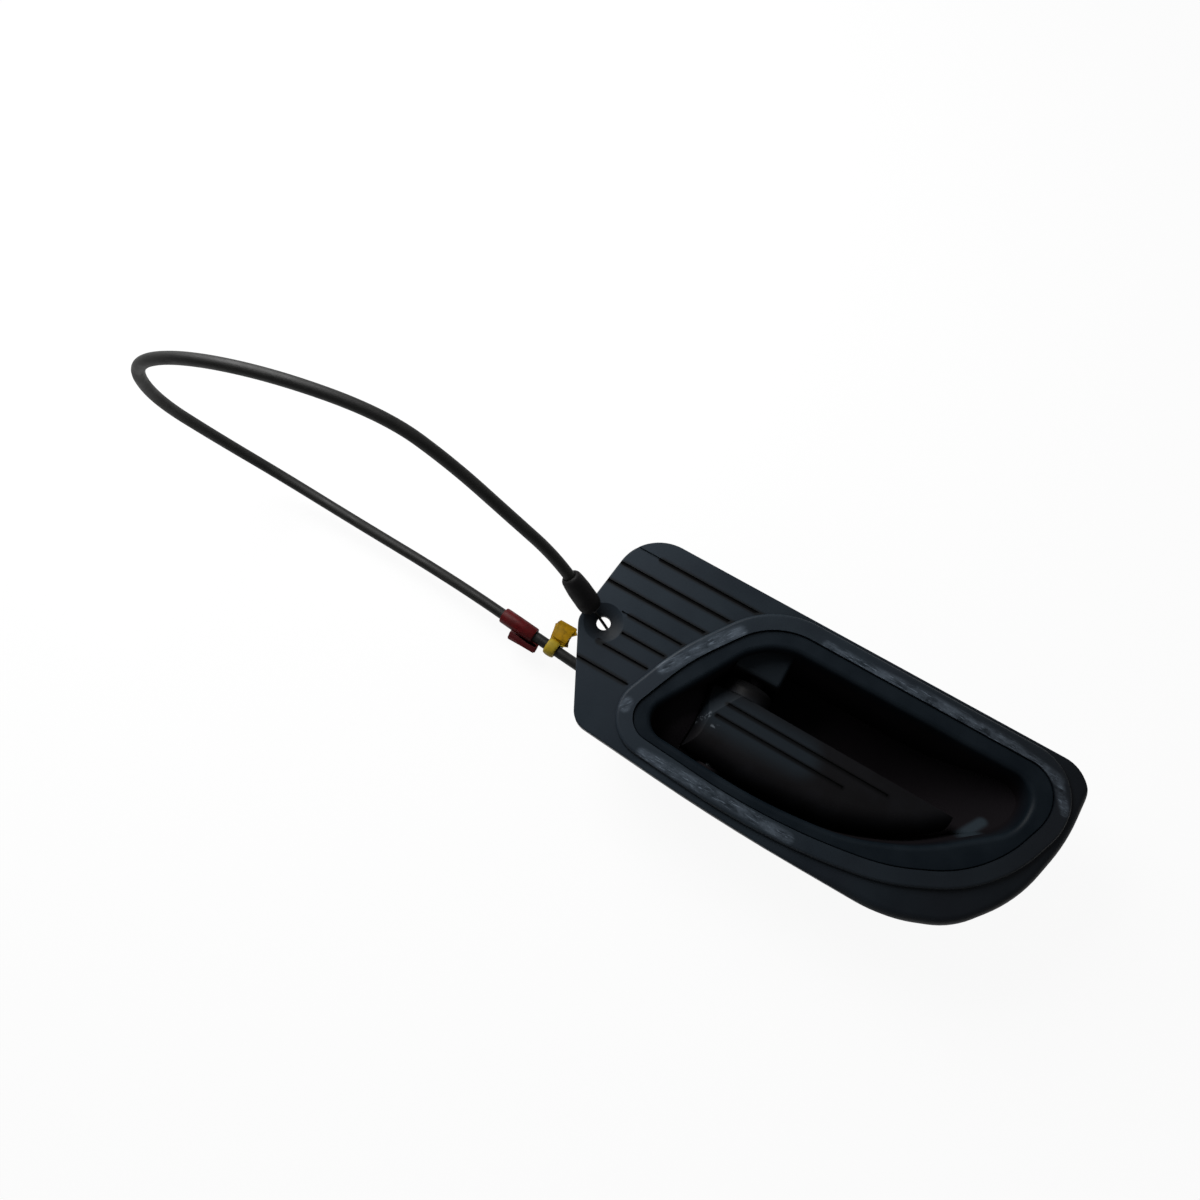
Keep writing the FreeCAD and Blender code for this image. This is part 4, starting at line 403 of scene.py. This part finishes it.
# Moulded ABS with a fine spark-eroded grain: dark slate, dull, with hazy scuffs on the raised band.
# The grain is drawn at 0.7 mm, since the real 0.1 mm would not show.
def plate_abs():
    material, tree, shader, place = new_material("moulded_abs_plate", IOR=1.5, Specular_IOR_Level=0.18)
    tone, gloss = mottled(tree, shader, place, "10181F", "161F26", 26, (0.50, 0.60), 0.7, 0.05)
    height = add(tree, "ShaderNodeSeparateXYZ", {0: place}, "Z")
    flat = add(tree, "ShaderNodeVectorMath", {0: place, 1: (1, 1, 0)}, operation="MULTIPLY")
    # a faint purple cast in wide patches, as old ABS takes
    wide = add(tree, "ShaderNodeTexNoise", {"Vector": place, "Scale": 1 / (48 * MM), "Detail": 1.0})
    cast = add(tree, "ShaderNodeMapRange", {
        "Value": wide, "From Min": 0.48, "From Max": 0.62, "To Max": 0.4,
    })
    tone = add(tree, "ShaderNodeMix", {"Factor": cast, "A": tone, "B": linear("12131B")}, data_type="RGBA")
    # painted light and shade from end to end: the cable's end, near the key lamp, painted paler, and the
    # other end painted darker
    along = add(tree, "ShaderNodeSeparateXYZ", {0: place}, "X")
    painted_lamp_side_light = add(tree, "ShaderNodeMapRange", {
        "Value": along, "From Min": -30 * MM, "From Max": -115 * MM, "To Max": 0.6,
    })
    tone = add(tree, "ShaderNodeMix", {
        "Factor": painted_lamp_side_light, "A": tone, "B": linear("1E2831"),
    }, data_type="RGBA")
    painted_far_end_shade = add(tree, "ShaderNodeMapRange", {
        "Value": along, "From Min": 20 * MM, "From Max": 105 * MM, "To Max": 0.7,
    })
    tone = add(tree, "ShaderNodeMix", {
        "Factor": painted_far_end_shade, "A": tone, "B": linear("05070B"),
    }, data_type="RGBA")
    # painted shade in the grooves: their floor painted black, their rims painted dark and fading into the
    # plate
    on_plate = between(tree, height, *PLATE_FACE)
    rims = along_lines(tree, flat, GROOVE_SHADOWS)
    shade = add(tree, "ShaderNodeMath", {0: rims, 1: on_plate}, operation="MULTIPLY")
    shade = add(tree, "ShaderNodeMath", {0: shade, 1: 0.85}, operation="MULTIPLY")
    tone = add(tree, "ShaderNodeMix", {"Factor": shade, "A": tone, "B": linear("020304")}, data_type="RGBA")
    on_floor = between(tree, height, *GROOVE_FLOOR)
    floor = add(tree, "ShaderNodeMath", {0: rims, 1: on_floor}, operation="MULTIPLY")
    floor = add(tree, "ShaderNodeMapRange", {"Value": floor, "From Max": 0.3})
    tone = add(tree, "ShaderNodeMix", {"Factor": floor, "A": tone, "B": linear("010102")}, data_type="RGBA")
    gloss = add(tree, "ShaderNodeMath", {0: floor, 1: gloss}, operation="MAXIMUM")
    # painted shade in the dish round the screw hole
    near_hole = along_line(tree, flat, *SCREW_DISH)
    in_dish = between(tree, height, *DISH_HEIGHTS)
    painted_dish_shade = add(tree, "ShaderNodeMath", {0: near_hole, 1: in_dish}, operation="MULTIPLY")
    painted_dish_shade = add(tree, "ShaderNodeMath", {0: painted_dish_shade, 1: 0.6}, operation="MULTIPLY")
    tone = add(tree, "ShaderNodeMix", {"Factor": painted_dish_shade, "A": tone, "B": linear("08090C")}, data_type="RGBA")
    # painted sheen: the whole band's top a trace paler
    on_band = between(tree, height, *BAND_HEIGHTS)
    painted_band_sheen = add(tree, "ShaderNodeMath", {0: on_band, 1: 0.025}, operation="MULTIPLY")
    tone = add(tree, "ShaderNodeMix", {
        "Factor": painted_band_sheen, "A": tone, "B": linear("66727F"),
    }, data_type="RGBA")
    # scuffs: a haze in patches and thin pale scratches that run along the band, 4 and 0.75 mm wide
    for lines, turn in ((SCUFFS_ALONG, -0.02), (SCUFFS_ACROSS, 0.95)):
        where = along_lines(tree, flat, lines)
        where = add(tree, "ShaderNodeMath", {0: where, 1: on_band}, operation="MULTIPLY")
        lengthwise = add(tree, "ShaderNodeMapping", {"Vector": place, "Rotation": (0, 0, -turn)})
        drawn_out = add(tree, "ShaderNodeMapping", {"Vector": lengthwise, "Scale": (0.12, 1, 1)})
        streaks = add(tree, "ShaderNodeMapping", {"Vector": lengthwise, "Scale": (0.4, 1, 1)})
        haze = add(tree, "ShaderNodeTexNoise", {
            "Vector": streaks, "Scale": 1 / (4 * MM), "Detail": 6.0, "Roughness": 0.7,
        })
        haze = add(tree, "ShaderNodeMapRange", {
            "Value": haze, "From Min": 0.38, "From Max": 0.66, "To Max": 0.27,
        })
        scratches = add(tree, "ShaderNodeTexNoise", {
            "Vector": drawn_out, "Scale": 1 / (0.75 * MM), "Detail": 3.0, "Roughness": 0.75,
        })
        scratches = add(tree, "ShaderNodeMapRange", {
            "Value": scratches, "From Min": 0.53, "From Max": 0.66, "To Max": 0.46,
        })
        scuffs = add(tree, "ShaderNodeMath", {0: haze, 1: scratches}, operation="MAXIMUM")
        scuffs = add(tree, "ShaderNodeMath", {0: scuffs, 1: where}, operation="MULTIPLY")
        tone = add(tree, "ShaderNodeMix", {
            "Factor": scuffs, "A": tone, "B": linear("7D8997"),
        }, data_type="RGBA")
    tree.links.new(tone, shader.inputs["Base Color"])
    tree.links.new(gloss, shader.inputs["Roughness"])
    return material


# The same ABS from a smoother tool: the lip as dark as the plate, the bowl dull and painted darker with
# depth as shade
def cup_abs():
    material, tree, shader, place = new_material("smooth_abs_cup", IOR=1.5, Specular_IOR_Level=0.08)
    tone, gloss = mottled(tree, shader, place, "0C1319", "131A20", 18, (0.48, 0.58), 1.2, 0.02)
    height = add(tree, "ShaderNodeSeparateXYZ", {0: place}, "Z")
    flat = add(tree, "ShaderNodeVectorMath", {0: place, 1: (1, 1, 0)}, operation="MULTIPLY")
    # painted shade: the bowl is painted darker the deeper it goes
    depth = add(tree, "ShaderNodeMapRange", {
        "Value": height, "From Min": 46 * MM, "From Max": 34 * MM,
    })
    tone = add(tree, "ShaderNodeMix", {"Factor": depth, "A": tone, "B": linear("0E0B0E")}, data_type="RGBA")
    dull = add(tree, "ShaderNodeMapRange", {
        "Value": height, "From Min": 42 * MM, "From Max": 34 * MM, "To Max": 0.82,
    })
    gloss = add(tree, "ShaderNodeMath", {0: dull, 1: gloss}, operation="MAXIMUM")
    tree.links.new(gloss, shader.inputs["Roughness"])
    # painted highlights: the top of the facet block and a streak on the bowl's end are painted paler
    near_block = along_line(tree, flat, *FACET_BLOCK)
    block_top = between(tree, height, *FACET_TOP)
    painted_facet_highlight = add(tree, "ShaderNodeMath", {0: near_block, 1: block_top}, operation="MULTIPLY")
    tone = add(tree, "ShaderNodeMix", {"Factor": painted_facet_highlight, "A": tone, "B": linear("141A1F")}, data_type="RGBA")
    near_end = along_line(tree, flat, *BOWL_END)
    in_bowl = between(tree, height, *BOWL_HEIGHTS)
    painted_end_highlight = add(tree, "ShaderNodeMath", {0: near_end, 1: in_bowl}, operation="MULTIPLY")
    tone = add(tree, "ShaderNodeMix", {"Factor": painted_end_highlight, "A": tone, "B": linear("252D33")}, data_type="RGBA")
    tree.links.new(tone, shader.inputs["Base Color"])
    return material


# Moulded glass filled nylon: charcoal and dull, with painted light along the ridge, painted shade in the
# grooves and on the hub, and painted glints at the rear edge
def lever_nylon():
    material, tree, shader, place = new_material("moulded_nylon_lever", IOR=1.53, Specular_IOR_Level=0.12)
    tone, gloss = mottled(tree, shader, place, "0A090B", "0E0E11", 14, (0.56, 0.66), 0.9, 0.02)
    flat = add(tree, "ShaderNodeVectorMath", {0: place, 1: (1, 1, 0)}, operation="MULTIPLY")
    # painted light: the lever's top along the ridge painted paler
    painted_ridge_light = along_line(tree, flat, *LEVER_RIDGE)
    painted_ridge_light = add(tree, "ShaderNodeMath", {0: painted_ridge_light, 1: 0.95}, operation="MULTIPLY")
    tone = add(tree, "ShaderNodeMix", {"Factor": painted_ridge_light, "A": tone, "B": linear("1A2127")}, data_type="RGBA")
    # painted shade: the hub painted near black
    painted_hub_shade = along_line(tree, flat, *LEVER_HUB)
    painted_hub_shade = add(tree, "ShaderNodeMath", {0: painted_hub_shade, 1: 0.85}, operation="MULTIPLY")
    tone = add(tree, "ShaderNodeMix", {"Factor": painted_hub_shade, "A": tone, "B": linear("010102")}, data_type="RGBA")
    # painted shade in the lever's grooves
    dirt_and_groove_shade = along_lines(tree, flat, LEVER_GROOVES)
    dirt_and_groove_shade = add(tree, "ShaderNodeMath", {0: dirt_and_groove_shade, 1: 0.85}, operation="MULTIPLY")
    tone = add(tree, "ShaderNodeMix", {"Factor": dirt_and_groove_shade, "A": tone, "B": linear("020203")}, data_type="RGBA")
    gloss = add(tree, "ShaderNodeMath", {0: painted_hub_shade, 1: gloss}, operation="MAXIMUM")
    tree.links.new(gloss, shader.inputs["Roughness"])
    # painted glints: pale specks at the rear edge
    specks = add(tree, "ShaderNodeTexNoise", {"Vector": place, "Scale": 1 / (1.4 * MM), "Detail": 3.0})
    specks = add(tree, "ShaderNodeMapRange", {
        "Value": specks, "From Min": 0.52, "From Max": 0.62, "To Max": 0.35,
    })
    edge = along_lines(tree, flat, LEVER_GLINTS)
    painted_edge_glints = add(tree, "ShaderNodeMath", {0: specks, 1: edge}, operation="MULTIPLY")
    tone = add(tree, "ShaderNodeMix", {"Factor": painted_edge_glints, "A": tone, "B": linear("7A828A")}, data_type="RGBA")
    tree.links.new(tone, shader.inputs["Base Color"])
    return material


# Extruded PVC sheath: black with a warm tint and a satin skin
def sheath_pvc():
    material, tree, shader, place = new_material("extruded_pvc_sheath", IOR=1.53, Specular_IOR_Level=0.26)
    mottled(tree, shader, place, "080807", "121210", 9, (0.52, 0.66), 0.8, 0.02)
    return material


# Moulded rubber: dead black, rough and a little dusty
def moulded_rubber(name, dark, light):
    material, tree, shader, place = new_material(name, IOR=1.52, Specular_IOR_Level=0.2)
    mottled(tree, shader, place, dark, light, 5, (0.62, 0.8), 0.6, 0.03)
    return material


# Moulded polypropylene clips: coloured through, duller where rubbed, with dirt in patches.
# The part of the clip below a line across it is painted another tone: painted shade on the red clip's fin,
# a paler band on the yellow clip.
def clip_polypropylene(name, clean, worn, dirt, line, below_line):
    material, tree, shader, place = new_material(name, IOR=1.49, Specular_IOR_Level=0.13)
    tone, _ = mottled(tree, shader, place, clean, worn, 5.5, (0.42, 0.58), 0.9, 0.04)
    dirt_and_groove_shade = add(tree, "ShaderNodeTexNoise", {
        "Vector": place, "Scale": 1 / (2.4 * MM), "Detail": 4.0, "Roughness": 0.7,
    })
    dirt_and_groove_shade = add(tree, "ShaderNodeMapRange", {
        "Value": dirt_and_groove_shade, "From Min": 0.50, "From Max": 0.68, "To Max": 0.45,
    })
    tone = add(tree, "ShaderNodeMix", {"Factor": dirt_and_groove_shade, "A": tone, "B": linear(dirt)}, data_type="RGBA")
    # below the line: painted shade on the red fin, a paler tone on the yellow band
    across = add(tree, "ShaderNodeSeparateXYZ", {0: place}, "Y")
    below = add(tree, "ShaderNodeMapRange", {
        "Value": across, "From Min": (line + 0.5) * MM, "From Max": (line - 0.5) * MM, "To Max": 0.75,
    })
    tone = add(tree, "ShaderNodeMix", {
        "Factor": below, "A": tone, "B": linear(below_line),
    }, data_type="RGBA")
    tree.links.new(tone, shader.inputs["Base Color"])
    return material


# Blackened, oiled or phosphated steel and die cast zinc: grey metal with a soft uneven surface
def grey_metal(name, bright, dim, roughness):
    material, tree, shader, place = new_material(name, Metallic=1.0)
    mottled(tree, shader, place, bright, dim, 2.2, roughness, 0.5, 0.01)
    return material


# A diagonal wave texture repeats after 2 pi / (10 * sqrt(3) * scale): this one after 1.1 mm
LAY_SCALE = 330.0


# Stranded steel wire, oily and dark: slanting lays drawn 1.1 mm apart, since the real 0.2 mm
# would not show
def stranded_wire():
    material, tree, shader, place = new_material("stranded_steel_wire", Metallic=1.0, Roughness=0.42)
    lay = add(tree, "ShaderNodeTexWave", {
        "Vector": place, "Scale": LAY_SCALE, "Distortion": 0.3,
    }, wave_type="BANDS", bands_direction="DIAGONAL")
    tone = add(tree, "ShaderNodeMix", {
        "Factor": lay, "A": linear("141413"), "B": linear("3C3C3A"),
    }, data_type="RGBA")
    tree.links.new(tone, shader.inputs["Base Color"])
    relief = add(tree, "ShaderNodeBump", {"Height": lay, "Distance": 0.1 * MM, "Strength": 0.8})
    tree.links.new(relief, shader.inputs["Normal"])
    return material


def finish_piece(piece, material):
    """Gives a piece its material on all its faces."""
    piece.data.materials.clear()
    piece.data.materials.append(material)
    if piece.type == "MESH":
        for polygon in piece.data.polygons:
            polygon.material_index = 0


screw_steel = grey_metal("blackened_steel", "4A4D4F", "343638", (0.38, 0.5))
spring_steel = grey_metal("oiled_spring_steel", "3A3C3E", "2A2C2E", (0.36, 0.5))
cast_zinc = grey_metal("die_cast_zinc", "9C9FA1", "85888A", (0.42, 0.55))
wire = stranded_wire()
FINISHES = {
    "escutcheon_plate": plate_abs(),
    "cup_housing": cup_abs(),
    "pull_lever": lever_nylon(),
    "rest_buffer": moulded_rubber("moulded_rubber_buffer", "0D0D0D", "1A1A1A"),
    "handle_end_ferrule": cast_zinc,
    "lock_end_ferrule": cast_zinc,
    "handle_end_nipple": cast_zinc,
    "lock_end_nipple": cast_zinc,
    "handle_end_wire": wire,
    "lock_end_wire": wire,
    "axle_pin": grey_metal("phosphated_steel_pin", "202224", "161718", (0.5, 0.62)),
    "axle_retaining_clip": spring_steel,
    "return_spring": spring_steel,
}
for name, piece in NODES.items():
    if name.startswith("housing_screw"):
        finish_piece(piece, screw_steel)
    elif name.startswith("trim_clip"):
        finish_piece(piece, spring_steel)
    elif name in FINISHES:
        finish_piece(piece, FINISHES[name])
finish_piece(sheath, sheath_pvc())
finish_piece(boot, moulded_rubber("moulded_rubber_boot", "040304", "0B090A"))
finish_piece(red_clip, clip_polypropylene(
    "red_polypropylene_clip", "4C0408", "400A0A", dirt="180203", line=-18.9, below_line="320206",
))
finish_piece(yellow_clip, clip_polypropylene(
    "yellow_polypropylene_clip", "946E00", "826406", dirt="342700", line=-12.6, below_line="8E7E26",
))

# Table and light: a white sheet, one soft lamp near the upper left and two weak ones.
# The table's width and the lamps are in metres: name, place, point looked at, width, and the watts.
TABLE_WIDTH = 6.0
TABLE_BELOW = 0.4
WHITE_SHARE = 0.93
LAMPS = [
    ("key_lamp", (-0.48, 0.22, 0.40), (-0.05, 0.0, 0.04), 0.35, 4.9),
    ("fill_lamp", (0.55, 0.75, 0.9), (0.03, 0.0, 0.04), 0.8, 1.0),
    ("front_lamp", (0.1, -1.0, 0.7), (0.0, 0.0, 0.04), 0.8, 0.9),
]
SKY_COLOUR = "F4F6F8"
SKY_STRENGTH = 0.15


def white_table():
    """A wide white floor that is seen as white and keeps a faint shadow of the handle."""
    bpy.ops.mesh.primitive_plane_add(size=TABLE_WIDTH, location=(0, 0, -TABLE_BELOW * MM))
    table = bpy.context.object
    table.name = "table"
    material = bpy.data.materials.new("white_table")
    material.use_nodes = True
    tree = material.node_tree
    tree.nodes.clear()
    paper = add(tree, "ShaderNodeBsdfDiffuse", {"Color": linear("F2F2F2")})
    glow = add(tree, "ShaderNodeEmission", {"Color": (1, 1, 1, 1), "Strength": 1.0})
    seen = 0.0
    for ray in ("Is Camera Ray", "Is Glossy Ray", "Is Transmission Ray"):
        of_kind = add(tree, "ShaderNodeLightPath", output=ray)
        seen = add(tree, "ShaderNodeMath", {0: seen, 1: of_kind}, operation="MAXIMUM")
    share = add(tree, "ShaderNodeMath", {0: seen, 1: WHITE_SHARE}, operation="MULTIPLY")
    both = add(tree, "ShaderNodeMixShader", {0: share, 1: paper, 2: glow})
    surface = tree.nodes.new("ShaderNodeOutputMaterial")
    tree.links.new(both, surface.inputs["Surface"])
    table.data.materials.append(material)


def soft_lamp(name, place, aim, width, watts):
    """A square lamp that looks at a point."""
    bpy.ops.object.light_add(type="AREA", location=place)
    lamp = bpy.context.object
    lamp.name = name
    lamp.data.shape = "SQUARE"
    lamp.data.size = width
    lamp.data.energy = watts
    lamp.rotation_euler = (Vector(aim) - Vector(place)).to_track_quat("-Z", "Y").to_euler()


white_table()
for lamp in LAMPS:
    soft_lamp(*lamp)
world = bpy.data.worlds.new("studio")
bpy.context.scene.world = world
world.use_nodes = True
sky = world.node_tree.nodes["Background"]
sky.inputs["Color"].default_value = linear(SKY_COLOUR)
sky.inputs["Strength"].default_value = SKY_STRENGTH
bpy.context.scene.view_settings.view_transform = "Standard"

bpy.context.view_layer.update()
